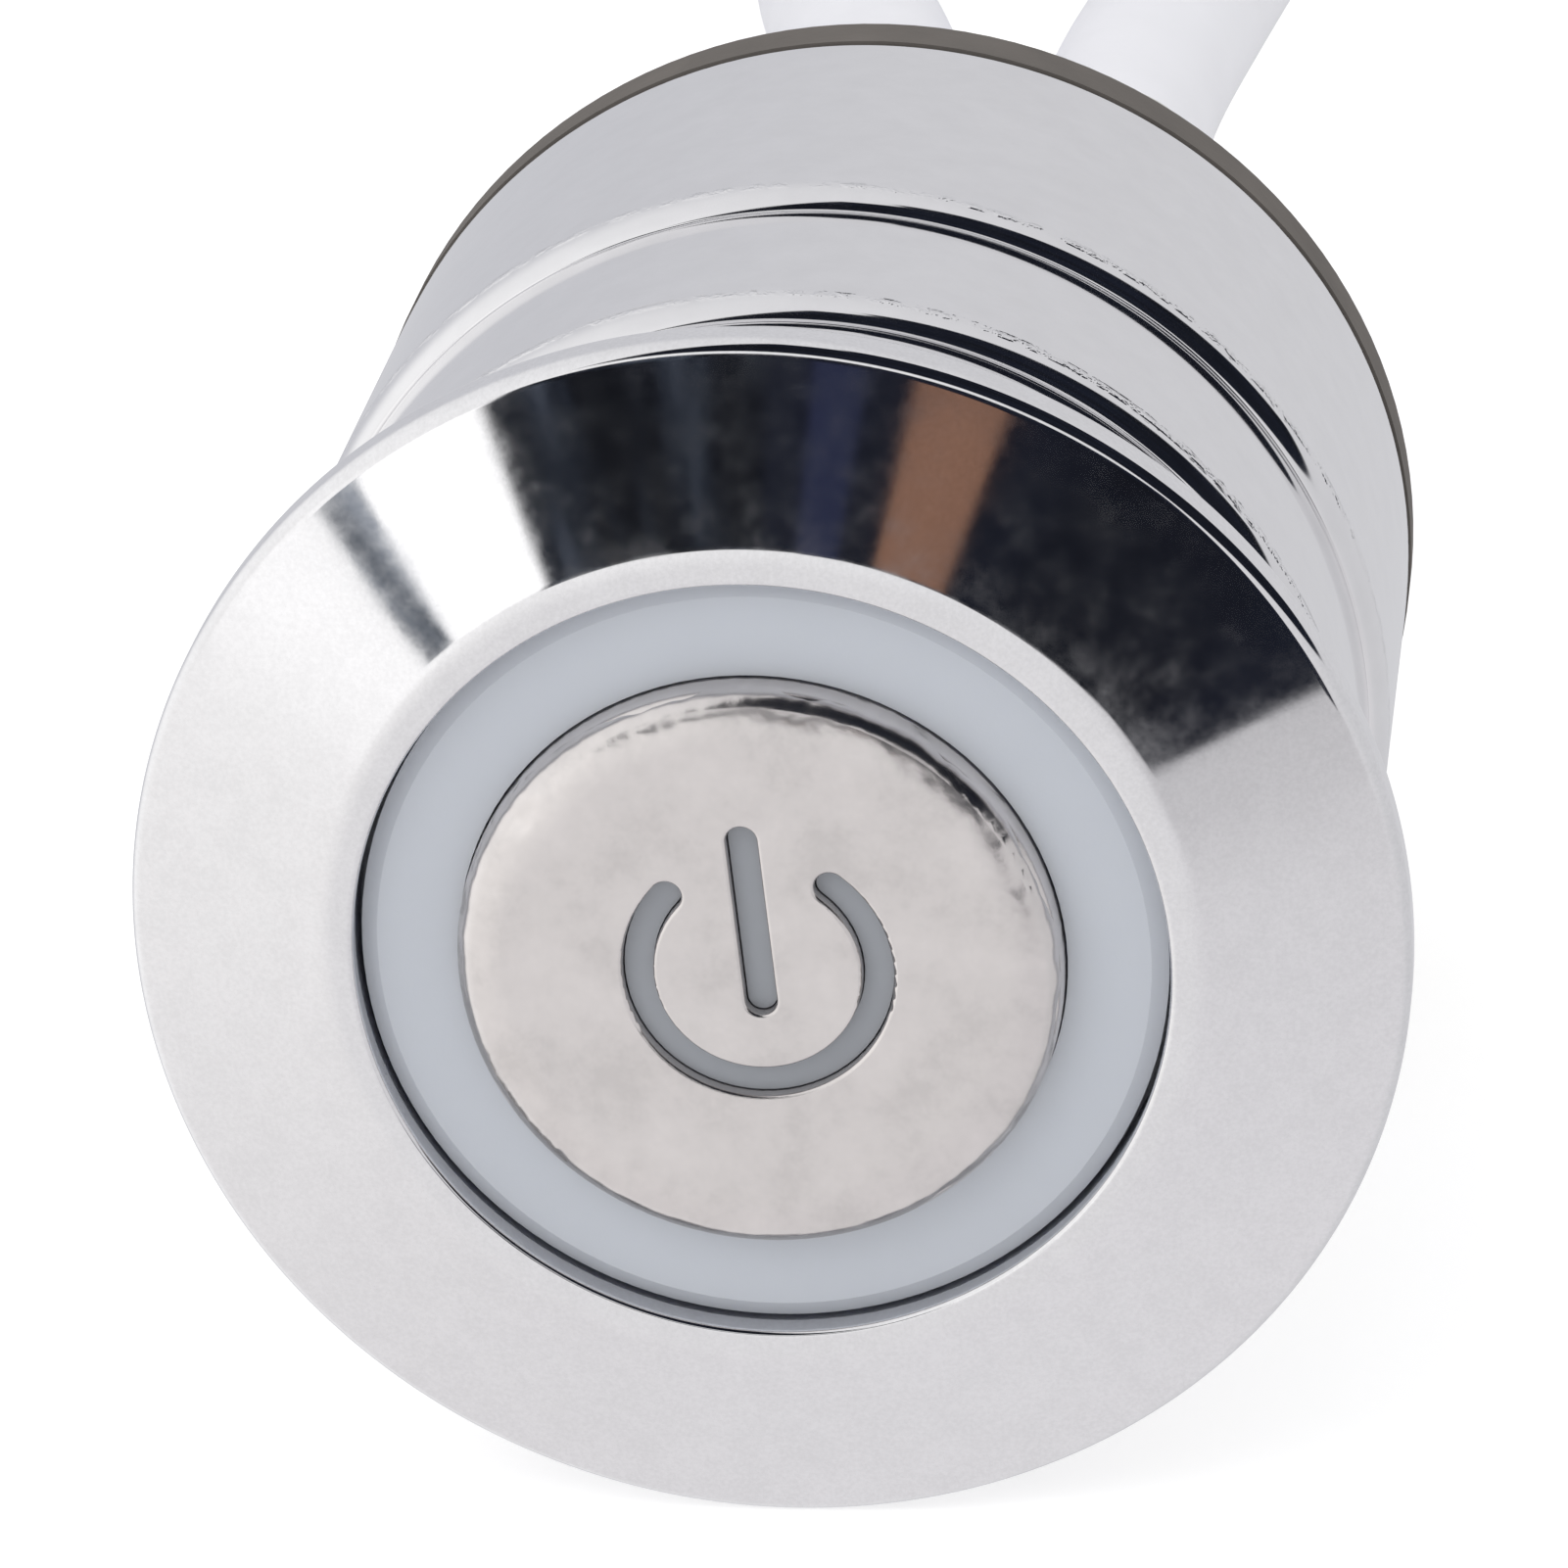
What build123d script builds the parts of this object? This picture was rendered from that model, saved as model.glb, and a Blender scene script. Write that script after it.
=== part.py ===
"""Round touch switch for panels and furniture: chromed stepped body, lit ring, two leads.

The switch's axis lies along Y. Its face looks towards -Y, +Z is up, and the origin is the
centre of the gasket's rear face, where the switch seats on its panel. All sizes are in mm.
Depths are measured rearwards from the front edge of the bezel.
"""

import os
from math import cos, pi, radians, sin, tan

from build123d import *

os.makedirs("parts", exist_ok=True)


# Outer form
BEZEL_DIAMETER = 38.0
BEZEL_TO_SEAT = 33.4
REAR_SLEEVE_DIAMETER = 35.0
SLEEVE_STEP = 0.6
FRONT_JOINT_DEPTH = 8.8
REAR_JOINT_DEPTH = 16.8
CORNER_DEPTH = 1.2
GASKET_THICKNESS = 1.8
GASKET_WIDTH = 3.25
GASKET_PROUD = 0.05

# Bezel
CONE_HEIGHT = 1.48
LIP_DIAMETER = 25.8
BORE_DIAMETER = 24.1
LIP_ROUNDING = 0.2
RIM_ROUNDING = 0.3
RIM_THICKNESS = 1.4
BACK_SLOPE = 1.0
LEDGE_DEPTH = 0.6
SKIRT_STEP = 0.9
THREAD_WALL = 1.4
THREAD_LENGTH = 4.6

# Light guide and button
RING_RECESS = 0.75
RING_BEVEL = 0.5
GUIDE_CLEARANCE = 0.1
GUIDE_FLANGE_THICKNESS = 1.2
BUTTON_DIAMETER = 17.9
BUTTON_CLEARANCE = 0.05
BUTTON_PROUD = 1.1
BUTTON_THICKNESS = 2.1
BUTTON_ROUNDING = 0.5
POST_OFFSET = 6.3
POST_RADIUS = 1.3
POST_LENGTH = 3.2
POST_CLEARANCE = 0.2

# Power symbol
SYMBOL_RADIUS = 3.55
SYMBOL_STROKE = 0.92
SYMBOL_GAP_ANGLE = 86.0
SYMBOL_TURN = 3.5
BAR_LOW = -0.9
BAR_HIGH = 4.2
SLOT_ROUNDING = 0.12
SLOT_CLEARANCE = 0.03
FILLING_RECESS = 0.45

# Sleeves and seals
WALL_CLEARANCE = 0.05
SPIGOT_LENGTH = 4.5
SPIGOT_WALL = 1.6
SHOULDER_WIDTH = 1.1
SHOULDER_THICKNESS = 1.6
THREAD_RELIEF = 0.2
SEAL_SECTION = 0.8
SEAL_SQUEEZE = 0.02
REAR_EDGE_ROUNDING = 0.3

# Electronics: places on the boards are shares of their radius
BAFFLE_HEIGHT = 4.5
BAFFLE_WALL = 0.9
BAFFLE_FLOOR = 1.0
BOARD_CLEARANCE = 0.2
LED_BOARD_THICKNESS = 1.0
LED_COUNT = 6
LED_LENGTH = 3.5
LED_SIDE_CLEARANCE = 0.55
LED_HEIGHT = 1.2
WINDOW_MARGIN = 0.15
SPRING_THICKNESS = 0.25
SPRING_WIDTH = 2.0
BOARD_SPACING = 5.4
SPACER_WALL = 1.1
CONTROL_BOARD_THICKNESS = 1.6
HEADER_HEIGHT = 8.0
PIN_PITCH = 2.54
PIN_COUNT = 3
PIN_SIZE = 0.6
PIN_HOLE_RADIUS = 0.5
PIN_OVERHANG = 1.2
CHIP_LEAD_WIDTH = 0.35
CHIP_LEAD_THICKNESS = 0.3
TOUCH_CHIP_SIZE = (4.9, 3.9, 1.5)
TOUCH_CHIP_PLACE = (0.0, -0.57)
TRANSISTOR_SIZE = (6.1, 6.2, 2.3)
TRANSISTOR_PLACES = ((-0.55, -0.015), (0.55, -0.015))
CAN_RADIUS = 2.5
CAN_LENGTH = 5.4
CAN_ROUNDING = 0.4
CAN_PLACE = (-0.45, 0.55)
CHIP_RESISTOR_SIZE = (1.6, 0.8, 0.5)
CHIP_RESISTOR_PLACES = ((-0.21, 0.19), (0.0, 0.19), (0.21, 0.19), (-0.39, -0.52), (0.39, -0.52))
CHIP_CAPACITOR_SIZE = (2.0, 1.25, 0.8)
CHIP_CAPACITOR_PLACES = ((0.43, 0.51), (0.645, 0.46), (-0.115, -0.17), (0.115, -0.17))

# Rear cap
CAP_THICKNESS = 3.2
CAP_BOSS_HEIGHT = 0.8
RIB_THICKNESS = 1.5
RIB_WIDTH = 1.1
STEM_DIAMETER = 20.0
STEM_LENGTH = 12.0
STEM_BORE_DIAMETER = 16.4
STEM_CHAMFER = 0.6
CAP_SCREW_ANGLES = (60, 120, 240, 300)
CAP_SCREW_SPACE = 0.35
CAP_SCREW_HEAD_SHARE = 1.75
CAP_SCREW_HEAD_HEIGHT = 1.3
CAP_SCREW_SLOT_SHARE = 0.25
CAP_BOSS_MARGIN = 0.5
CAP_BOSS_LENGTH = 6.0
CAP_SCREW_BITE = 4.0

# Leads, clamp and boot
LEAD_DIAMETER = 7.0
LEAD_OFFSET = 4.4
SHEATH_INSIDE = 5.0
CORE_RADIUS = 1.1
CORE_OFFSET = 1.5
CORE_STRAIGHT_SHARE = 0.28
CORE_PADS = {"brown": (1, (0.24, 0.385)), "blue": (-1, (0.26, -0.33))}
CRADLE_LENGTH = 4.5
CRADLE_HALF_WIDTH = 11.2
CRADLE_FLOOR = 2.6
CLAMP_THICKNESS = 2.4
CLAMP_SCREW_OFFSET = 9.75
CLAMP_SCREW_RADIUS = 0.8
CLAMP_HEAD_RADIUS = 1.4
CLAMP_HEAD_HEIGHT = 1.0
CORNER_SHARE = 0.45
BOOT_PLUG_LENGTH = 5.0
BOOT_FLANGE_DIAMETER = 19.2
BOOT_FLANGE_THICKNESS = 2.0
BOOT_FLANGE_ROUNDING = 0.5
SNOUT_LENGTH = 20.0
SNOUT_BASE_RADIUS = 4.2
SNOUT_TIP_RADIUS = 4.0
SNOUT_GROOVES = 5
SNOUT_GROOVE_WIDTH = 1.3
SNOUT_GROOVE_DEPTH = 0.22

# Nut and washer, run up loosely as supplied
PANEL_GAP = 2.5
WASHER_DIAMETER = 27.0
WASHER_BORE_DIAMETER = 20.6
WASHER_THICKNESS = 1.0
NUT_ACROSS_FLATS = 24.0
NUT_THICKNESS = 4.5
NUT_CHAMFER = 0.5

# The leads' hank, its ties, and the connectors
FLOOR_Z = -BEZEL_DIAMETER / 2
FOLD_RADIUS = 23.5
FOLD_CENTRE_Y = 224.0
FOLD_POINTS = 6
TIE_Y = 206.0
TIE_WIDTH = 5.0
TIE_THICKNESS = 0.8
TIE_CLEARANCE = 0.1
TIE_HEAD_SIZE = 4.0
CONNECTOR_ENTRY_Y = 160.0
CONNECTOR_RADIUS = 6.0
CONNECTOR_TAIL_LENGTH = 14.0
CONNECTOR_BODY_LENGTH = 16.0
CONNECTOR_NOSE_LENGTH = 8.0
CONNECTOR_NOSE_RADIUS = 4.6
CONNECTOR_WALL = 0.9
CONNECTOR_TAIL_RADIUS = 4.2
CONNECTOR_SHOULDER = 1.2
CONTACT_SETBACK = 1.0
CONTACT_OFFSET = 1.9
CONTACT_PIN_RADIUS = 0.8
CONTACT_WALL = 0.3

# Planes along the axis, from the front to the back
EDGE_Y = -BEZEL_TO_SEAT
LIP_Y = EDGE_Y - CONE_HEIGHT
RING_Y = LIP_Y + RING_RECESS
LEDGE_Y = EDGE_Y + LEDGE_DEPTH
FACE_Y = RING_Y - BUTTON_PROUD
BUTTON_BACK_Y = FACE_Y + BUTTON_THICKNESS
GUIDE_BACK_Y = LEDGE_Y + GUIDE_FLANGE_THICKNESS
LED_BOARD_Y = GUIDE_BACK_Y + BAFFLE_HEIGHT
LED_BOARD_BACK_Y = LED_BOARD_Y + LED_BOARD_THICKNESS
CONTROL_BOARD_Y = LED_BOARD_BACK_Y + BOARD_SPACING
CONTROL_BOARD_BACK_Y = CONTROL_BOARD_Y + CONTROL_BOARD_THICKNESS
FRONT_JOINT_Y = EDGE_Y + FRONT_JOINT_DEPTH
THREAD_END_Y = FRONT_JOINT_Y + THREAD_LENGTH
REAR_JOINT_Y = EDGE_Y + REAR_JOINT_DEPTH
SPIGOT_END_Y = REAR_JOINT_Y + SPIGOT_LENGTH
SLEEVE_END_Y = -GASKET_THICKNESS
CAP_FACE_Y = SLEEVE_END_Y - CAP_THICKNESS
SHEATH_END_Y = CAP_FACE_Y - SHEATH_INSIDE
FLANGE_END_Y = STEM_LENGTH + BOOT_FLANGE_THICKNESS
TIP_Y = FLANGE_END_Y + SNOUT_LENGTH

# Radii that several pieces share
BEZEL_R = BEZEL_DIAMETER / 2
REAR_SLEEVE_R = REAR_SLEEVE_DIAMETER / 2
FRONT_SLEEVE_R = REAR_SLEEVE_R - SLEEVE_STEP
SKIRT_R = FRONT_SLEEVE_R - SLEEVE_STEP
THREAD_R = SKIRT_R - SKIRT_STEP
CAVITY_R = THREAD_R - THREAD_WALL
FRONT_BORE_R = THREAD_R + WALL_CLEARANCE
BORE_R = BORE_DIAMETER / 2
RING_R = BORE_R - GUIDE_CLEARANCE
BUTTON_R = BUTTON_DIAMETER / 2
POCKET_R = BUTTON_R + BUTTON_CLEARANCE
SHOULDER_R = CAVITY_R - SHOULDER_WIDTH
SPIGOT_R = REAR_SLEEVE_R - SPIGOT_WALL
SLEEVE_BORE_R = SPIGOT_R + WALL_CLEARANCE
BOARD_R = CAVITY_R - BOARD_CLEARANCE
LIGHT_CHANNEL = BOARD_R - BAFFLE_WALL - POCKET_R
LED_WIDTH = LIGHT_CHANNEL - 2 * LED_SIDE_CLEARANCE
LED_CIRCLE_R = POCKET_R + LIGHT_CHANNEL / 2
STEM_R = STEM_DIAMETER / 2
STEM_BORE_R = STEM_BORE_DIAMETER / 2
GASKET_R = REAR_SLEEVE_R + GASKET_PROUD
GASKET_BORE_R = GASKET_R - GASKET_WIDTH
CAP_LAND_R = GASKET_BORE_R - WALL_CLEARANCE
CAP_SCREW_CIRCLE_R = (STEM_R + CAP_LAND_R) / 2
CAP_SCREW_HEAD_R = (CAP_LAND_R - STEM_R) / 2 - CAP_SCREW_SPACE
CAP_SCREW_R = CAP_SCREW_HEAD_R / CAP_SCREW_HEAD_SHARE
CAP_BOSS_R = CAP_SCREW_HEAD_R + CAP_BOSS_MARGIN
LEAD_R = LEAD_DIAMETER / 2
LEAD_BORE_R = LEAD_R + WALL_CLEARANCE
SEAL_R = SEAL_SECTION / 2

# The two leads lie on each other in one hank: the supply's below, the load's above it, wound the other way
LOWER_Z = FLOOR_Z + TIE_THICKNESS + TIE_CLEARANCE + LEAD_R
UPPER_Z = LOWER_Z + LEAD_DIAMETER + TIE_CLEARANCE

SIDES = {"supply": -1, "load": 1}
HANK_HEIGHTS = {"supply": LOWER_Z, "load": UPPER_Z}
CONNECTOR_HEIGHTS = {
    "supply": FLOOR_Z + CONNECTOR_RADIUS,
    "load": LOWER_Z + LEAD_R + TIE_CLEARANCE + CONNECTOR_RADIUS,
}
OUTWARD_RUNS = {
    "supply": [
        (7.4, 60.0, -0.8),
        (10.8, 81.0, -4.6),
        (14.5, 101.0, -10.6),
        (18.5, 121.0, LOWER_Z),
        (FOLD_RADIUS, 144.0, LOWER_Z),
    ],
    "load": [
        (6.65, 60.0, -0.8),
        (9.2, 81.0, -2.0),
        (14.0, 101.0, -2.8),
        (19.0, 121.0, -2.8),
        (FOLD_RADIUS, 144.0, -2.8),
        (FOLD_RADIUS, 164.0, -3.2),
        (FOLD_RADIUS, 184.0, UPPER_Z),
    ],
}


def lead_route(name):
    """Centre line of a lead, from the boot's tip out to the hank, round its fold and back to the connector."""
    side = SIDES[name]
    hank_z = HANK_HEIGHTS[name]
    entry_z = CONNECTOR_HEIGHTS[name]
    corner_angle = 180 / FOLD_POINTS
    corner_r = FOLD_RADIUS / cos(radians(corner_angle / 2))
    points = [(LEAD_OFFSET, TIP_Y, 0.0), (LEAD_OFFSET, TIP_Y + 9.0, 0.0), *OUTWARD_RUNS[name]]
    for step in range(FOLD_POINTS):
        angle = radians(corner_angle * (step + 0.5))
        points.append((corner_r * cos(angle), FOLD_CENTRE_Y + corner_r * sin(angle), hank_z))
    points += [
        (-FOLD_RADIUS, CONNECTOR_ENTRY_Y + 24.0, hank_z),
        (-FOLD_RADIUS, CONNECTOR_ENTRY_Y + 10.0, entry_z),
        (-FOLD_RADIUS, CONNECTOR_ENTRY_Y, entry_z),
    ]
    return [Vector(side * x, y, z) for x, y, z in points]


def corner_radii(points):
    """Each arc's radius: a share of the shorter run beside it, over the tangent of half the turn."""
    radii = []
    for before, corner, after in zip(points, points[1:], points[2:]):
        run_in = corner - before
        run_out = after - corner
        half_turn = radians(run_in.get_angle(run_out)) / 2
        radii.append(CORNER_SHARE * min(run_in.length, run_out.length) / tan(half_turn))
    return radii


def polar_place(radius, angle):
    """A place on a circle about the axis, its angle in degrees from +X towards +Z."""
    return (radius * cos(radians(angle)), radius * sin(radians(angle)))


def board_place(shares):
    """A place on the boards, from its shares of their radius."""
    return (BOARD_R * shares[0], BOARD_R * shares[1])


def facing_plane(y):
    """A plane across the axis, seen from the front: its x is +X, its y is +Z, its normal -Y."""
    return Plane(origin=(0, y, 0), x_dir=(1, 0, 0), z_dir=(0, -1, 0))


def symbol(stroke):
    """The common power symbol: an open circle and a bar through its gap, with round ends."""
    gap_half = SYMBOL_GAP_ANGLE / 2
    with BuildSketch(Plane.XY) as strokes:
        with BuildLine():
            CenterArc((0, 0), SYMBOL_RADIUS, 90 + gap_half, 360 - SYMBOL_GAP_ANGLE)
        trace(line_width=stroke)
        for end in (90 - gap_half, 90 + gap_half):
            with Locations((SYMBOL_RADIUS * cos(radians(end)), SYMBOL_RADIUS * sin(radians(end)))):
                Circle(stroke / 2)
        with Locations((0, (BAR_LOW + BAR_HIGH) / 2)):
            SlotCenterToCenter(BAR_HIGH - BAR_LOW, stroke, rotation=90)
    return strokes.sketch.rotate(Axis.Z, SYMBOL_TURN)


# Bezel: coned face, flat lip, short bore, and a skirt that screws into the front sleeve
skirt_seal_place = (FRONT_BORE_R - SEAL_R, FRONT_JOINT_Y + SEAL_SECTION)
with BuildPart() as bezel:
    with BuildSketch(Plane.XY) as bezel_section:
        with BuildLine():
            Polyline(
                (BORE_R, LIP_Y),
                (LIP_DIAMETER / 2, LIP_Y),
                (BEZEL_R, EDGE_Y),
                (BEZEL_R, EDGE_Y + RIM_THICKNESS),
                (SKIRT_R, EDGE_Y + RIM_THICKNESS + BACK_SLOPE),
                (SKIRT_R, FRONT_JOINT_Y),
                (THREAD_R, FRONT_JOINT_Y),
                (THREAD_R, THREAD_END_Y),
                (CAVITY_R, THREAD_END_Y),
                (CAVITY_R, LEDGE_Y),
                (BORE_R, LEDGE_Y),
                close=True,
            )
        make_face()
        fillet(bezel_section.vertices().sort_by_distance((BORE_R, LIP_Y))[0], LIP_ROUNDING)
        fillet(bezel_section.vertices().sort_by_distance((BEZEL_R, EDGE_Y))[0], RIM_ROUNDING)
        fillet(bezel_section.vertices().sort_by_distance((BEZEL_R, EDGE_Y + RIM_THICKNESS))[0], RIM_ROUNDING)
    revolve(axis=Axis.Y)
    with BuildSketch(Plane.XY) as skirt_groove:
        with Locations(skirt_seal_place):
            Rectangle(SEAL_SECTION, SEAL_SECTION)
    revolve(axis=Axis.Y, mode=Mode.SUBTRACT)
bezel.part.label = "bezel"
export_step(bezel.part, "parts/bezel.step")


# Skirt seal: O-ring in the skirt's groove, just behind the joint with the front sleeve
with BuildPart() as skirt_seal:
    with BuildSketch(Plane.XY) as skirt_seal_section:
        with Locations(skirt_seal_place):
            Circle(SEAL_R - SEAL_SQUEEZE)
    revolve(axis=Axis.Y)
skirt_seal.part.label = "skirt_seal"
export_step(skirt_seal.part, "parts/skirt_seal.step")


# Light guide: lit ring, web under the button, the symbol's raised filling, retaining flange
with BuildPart() as light_guide:
    with BuildSketch(Plane.XY) as guide_section:
        with BuildLine():
            Polyline(
                (0, BUTTON_BACK_Y),
                (POCKET_R, BUTTON_BACK_Y),
                (POCKET_R, RING_Y),
                (RING_R - RING_BEVEL, RING_Y),
                (RING_R, RING_Y + RING_BEVEL / 2),
                (RING_R, LEDGE_Y),
                (BOARD_R, LEDGE_Y),
                (BOARD_R, GUIDE_BACK_Y),
                (0, GUIDE_BACK_Y),
                close=True,
            )
        make_face()
    revolve(axis=Axis.Y)
    with BuildSketch(facing_plane(BUTTON_BACK_Y)) as filling:
        add(symbol(SYMBOL_STROKE - 2 * SLOT_CLEARANCE))
    extrude(amount=BUTTON_THICKNESS - FILLING_RECESS)
    with BuildSketch(facing_plane(GUIDE_BACK_Y)) as post_hole:
        with Locations((0, -POST_OFFSET)):
            Circle(POST_RADIUS + POST_CLEARANCE)
    extrude(amount=GUIDE_BACK_Y - BUTTON_BACK_Y, mode=Mode.SUBTRACT)
light_guide.part.label = "light_guide"
export_step(light_guide.part, "parts/light_guide.step")


# Touch button: metal cap with a rounded edge, the symbol cut through it, and a contact post
with BuildPart() as touch_button:
    with BuildSketch(facing_plane(BUTTON_BACK_Y)) as button_outline:
        Circle(BUTTON_R)
    extrude(amount=BUTTON_THICKNESS)
    fillet(touch_button.edges().group_by(Axis.Y)[0], BUTTON_ROUNDING)
    with BuildSketch(facing_plane(BUTTON_BACK_Y)) as slots:
        add(symbol(SYMBOL_STROKE))
    extrude(amount=BUTTON_THICKNESS, mode=Mode.SUBTRACT)
    face_edges = touch_button.faces().sort_by(Axis.Y)[0].inner_wires().edges()
    fillet(face_edges, SLOT_ROUNDING)
    with BuildSketch(facing_plane(BUTTON_BACK_Y + POST_LENGTH)) as post:
        with Locations((0, -POST_OFFSET)):
            Circle(POST_RADIUS)
    extrude(amount=POST_LENGTH)
touch_button.part.label = "touch_button"
export_step(touch_button.part, "parts/touch_button.step")


# Light baffle: white cup that keeps the ring's light off the symbol, with a window for each light
with BuildPart() as light_baffle:
    with BuildSketch(Plane.XY) as baffle_section:
        with BuildLine():
            Polyline(
                (BOARD_R - BAFFLE_WALL, GUIDE_BACK_Y),
                (BOARD_R, GUIDE_BACK_Y),
                (BOARD_R, LED_BOARD_Y),
                (0, LED_BOARD_Y),
                (0, LED_BOARD_Y - BAFFLE_FLOOR),
                (POCKET_R - BAFFLE_WALL, LED_BOARD_Y - BAFFLE_FLOOR),
                (POCKET_R - BAFFLE_WALL, GUIDE_BACK_Y),
                (POCKET_R, GUIDE_BACK_Y),
                (POCKET_R, LED_BOARD_Y - BAFFLE_FLOOR),
                (BOARD_R - BAFFLE_WALL, LED_BOARD_Y - BAFFLE_FLOOR),
                close=True,
            )
        make_face()
    revolve(axis=Axis.Y)
    with BuildSketch(facing_plane(LED_BOARD_Y)) as windows:
        with PolarLocations(LED_CIRCLE_R, LED_COUNT):
            Rectangle(LED_WIDTH + 2 * WINDOW_MARGIN, LED_LENGTH + 2 * WINDOW_MARGIN)
        Rectangle(LED_WIDTH + 2 * WINDOW_MARGIN, LED_LENGTH + 2 * WINDOW_MARGIN)
        with Locations((0, -POST_OFFSET)):
            Rectangle(SPRING_WIDTH + 2 * POST_CLEARANCE, 2 * POST_RADIUS + 2 * POST_CLEARANCE)
    extrude(amount=BAFFLE_FLOOR, mode=Mode.SUBTRACT)
light_baffle.part.label = "light_baffle"
export_step(light_baffle.part, "parts/light_baffle.step")


# Places of the header's pins, on the boards' upper half
pin_places = [((i - (PIN_COUNT - 1) / 2) * PIN_PITCH, HEADER_HEIGHT) for i in range(PIN_COUNT)]

# LED board: round board behind the baffle
with BuildPart() as led_board:
    with BuildSketch(facing_plane(LED_BOARD_BACK_Y)) as led_board_outline:
        Circle(BOARD_R)
        with Locations(*pin_places):
            Circle(PIN_HOLE_RADIUS, mode=Mode.SUBTRACT)
    extrude(amount=LED_BOARD_THICKNESS)
led_board.part.label = "led_board"
export_step(led_board.part, "parts/led_board.step")


# LEDs: six under the ring and one under the symbol
with BuildPart() as leds:
    with BuildSketch(facing_plane(LED_BOARD_Y)) as led_outlines:
        with PolarLocations(LED_CIRCLE_R, LED_COUNT):
            Rectangle(LED_WIDTH, LED_LENGTH)
        Rectangle(LED_WIDTH, LED_LENGTH)
    extrude(amount=LED_HEIGHT)
leds.part.label = "leds"
export_step(leds.part, "parts/leds.step")


# Touch spring: bent strip that stands on the LED board and presses on the button's post
spring_room = LED_BOARD_Y - (BUTTON_BACK_Y + POST_LENGTH) - SPRING_THICKNESS
with BuildPart() as touch_spring:
    with BuildSketch(Plane.YZ) as spring_section:
        with BuildLine():
            FilletPolyline(
                (LED_BOARD_Y - SPRING_THICKNESS / 2, -POST_OFFSET - POST_RADIUS),
                (LED_BOARD_Y - SPRING_THICKNESS / 2, -POST_OFFSET + POST_RADIUS),
                (LED_BOARD_Y - SPRING_THICKNESS / 2 - spring_room / 2, -POST_OFFSET - 0.6 * POST_RADIUS),
                (LED_BOARD_Y - SPRING_THICKNESS / 2 - spring_room, -POST_OFFSET + 0.4 * POST_RADIUS),
                (LED_BOARD_Y - SPRING_THICKNESS / 2 - spring_room, -POST_OFFSET - 0.9 * POST_RADIUS),
                radius=SPRING_THICKNESS,
            )
        trace(line_width=SPRING_THICKNESS)
    extrude(amount=SPRING_WIDTH / 2, both=True)
touch_spring.part.label = "touch_spring"
export_step(touch_spring.part, "parts/touch_spring.step")


# Board spacer: ring that holds the two boards apart
with BuildPart() as board_spacer:
    with BuildSketch(facing_plane(CONTROL_BOARD_Y)) as spacer_outline:
        Circle(BOARD_R)
        Circle(BOARD_R - SPACER_WALL, mode=Mode.SUBTRACT)
    extrude(amount=BOARD_SPACING)
board_spacer.part.label = "board_spacer"
export_step(board_spacer.part, "parts/board_spacer.step")


# Pin header: moulded strip between the boards
with BuildPart() as pin_header:
    with BuildSketch(facing_plane(CONTROL_BOARD_Y)) as header_outline:
        with Locations((0, HEADER_HEIGHT)):
            Rectangle(PIN_COUNT * PIN_PITCH, PIN_PITCH)
        with Locations(*pin_places):
            Circle(PIN_HOLE_RADIUS, mode=Mode.SUBTRACT)
    extrude(amount=BOARD_SPACING)
pin_header.part.label = "pin_header"
export_step(pin_header.part, "parts/pin_header.step")


# Header pins: square pins through the strip and both boards
with BuildPart() as header_pins:
    with BuildSketch(facing_plane(CONTROL_BOARD_BACK_Y + PIN_OVERHANG)) as pin_outlines:
        with Locations(*pin_places):
            Rectangle(PIN_SIZE, PIN_SIZE)
    extrude(amount=CONTROL_BOARD_BACK_Y + PIN_OVERHANG - LED_BOARD_Y)
header_pins.part.label = "header_pins"
export_step(header_pins.part, "parts/header_pins.step")


# Control board: round board clamped between the spacer and the front sleeve's shoulder
with BuildPart() as control_board:
    with BuildSketch(facing_plane(CONTROL_BOARD_BACK_Y)) as control_board_outline:
        Circle(BOARD_R)
        with Locations(*pin_places):
            Circle(PIN_HOLE_RADIUS, mode=Mode.SUBTRACT)
    extrude(amount=CONTROL_BOARD_THICKNESS)
control_board.part.label = "control_board"
export_step(control_board.part, "parts/control_board.step")


def chip(width, height, thickness, x, z, lead_count, lead_reach):
    """A moulded package behind the control board, with leads from its upper and lower edges."""
    package = Pos(x, CONTROL_BOARD_BACK_Y + thickness / 2, z) * Box(width, thickness, height)
    pitch = width / lead_count
    lead_width = CHIP_LEAD_WIDTH * pitch
    lead_thickness = CHIP_LEAD_THICKNESS * thickness
    for i in range(lead_count):
        lead_x = x + (i - (lead_count - 1) / 2) * pitch
        lead_y = CONTROL_BOARD_BACK_Y + lead_thickness / 2
        package += Pos(lead_x, lead_y, z) * Box(lead_width, lead_thickness, height + 2 * lead_reach)
    return package


# Touch chip: eight-lead package that senses the finger
touch_chip_solid = chip(*TOUCH_CHIP_SIZE, *board_place(TOUCH_CHIP_PLACE), lead_count=4, lead_reach=1.0)
touch_chip_solid.label = "touch_chip"
export_step(touch_chip_solid, "parts/touch_chip.step")


# Power transistors: two flat packages, one for each half wave
power_transistor_solids = Compound(
    children=[
        chip(*TRANSISTOR_SIZE, *board_place(place), lead_count=3, lead_reach=1.6)
        for place in TRANSISTOR_PLACES
    ]
)
power_transistor_solids.label = "power_transistors"
export_step(power_transistor_solids, "parts/power_transistors.step")


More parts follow.
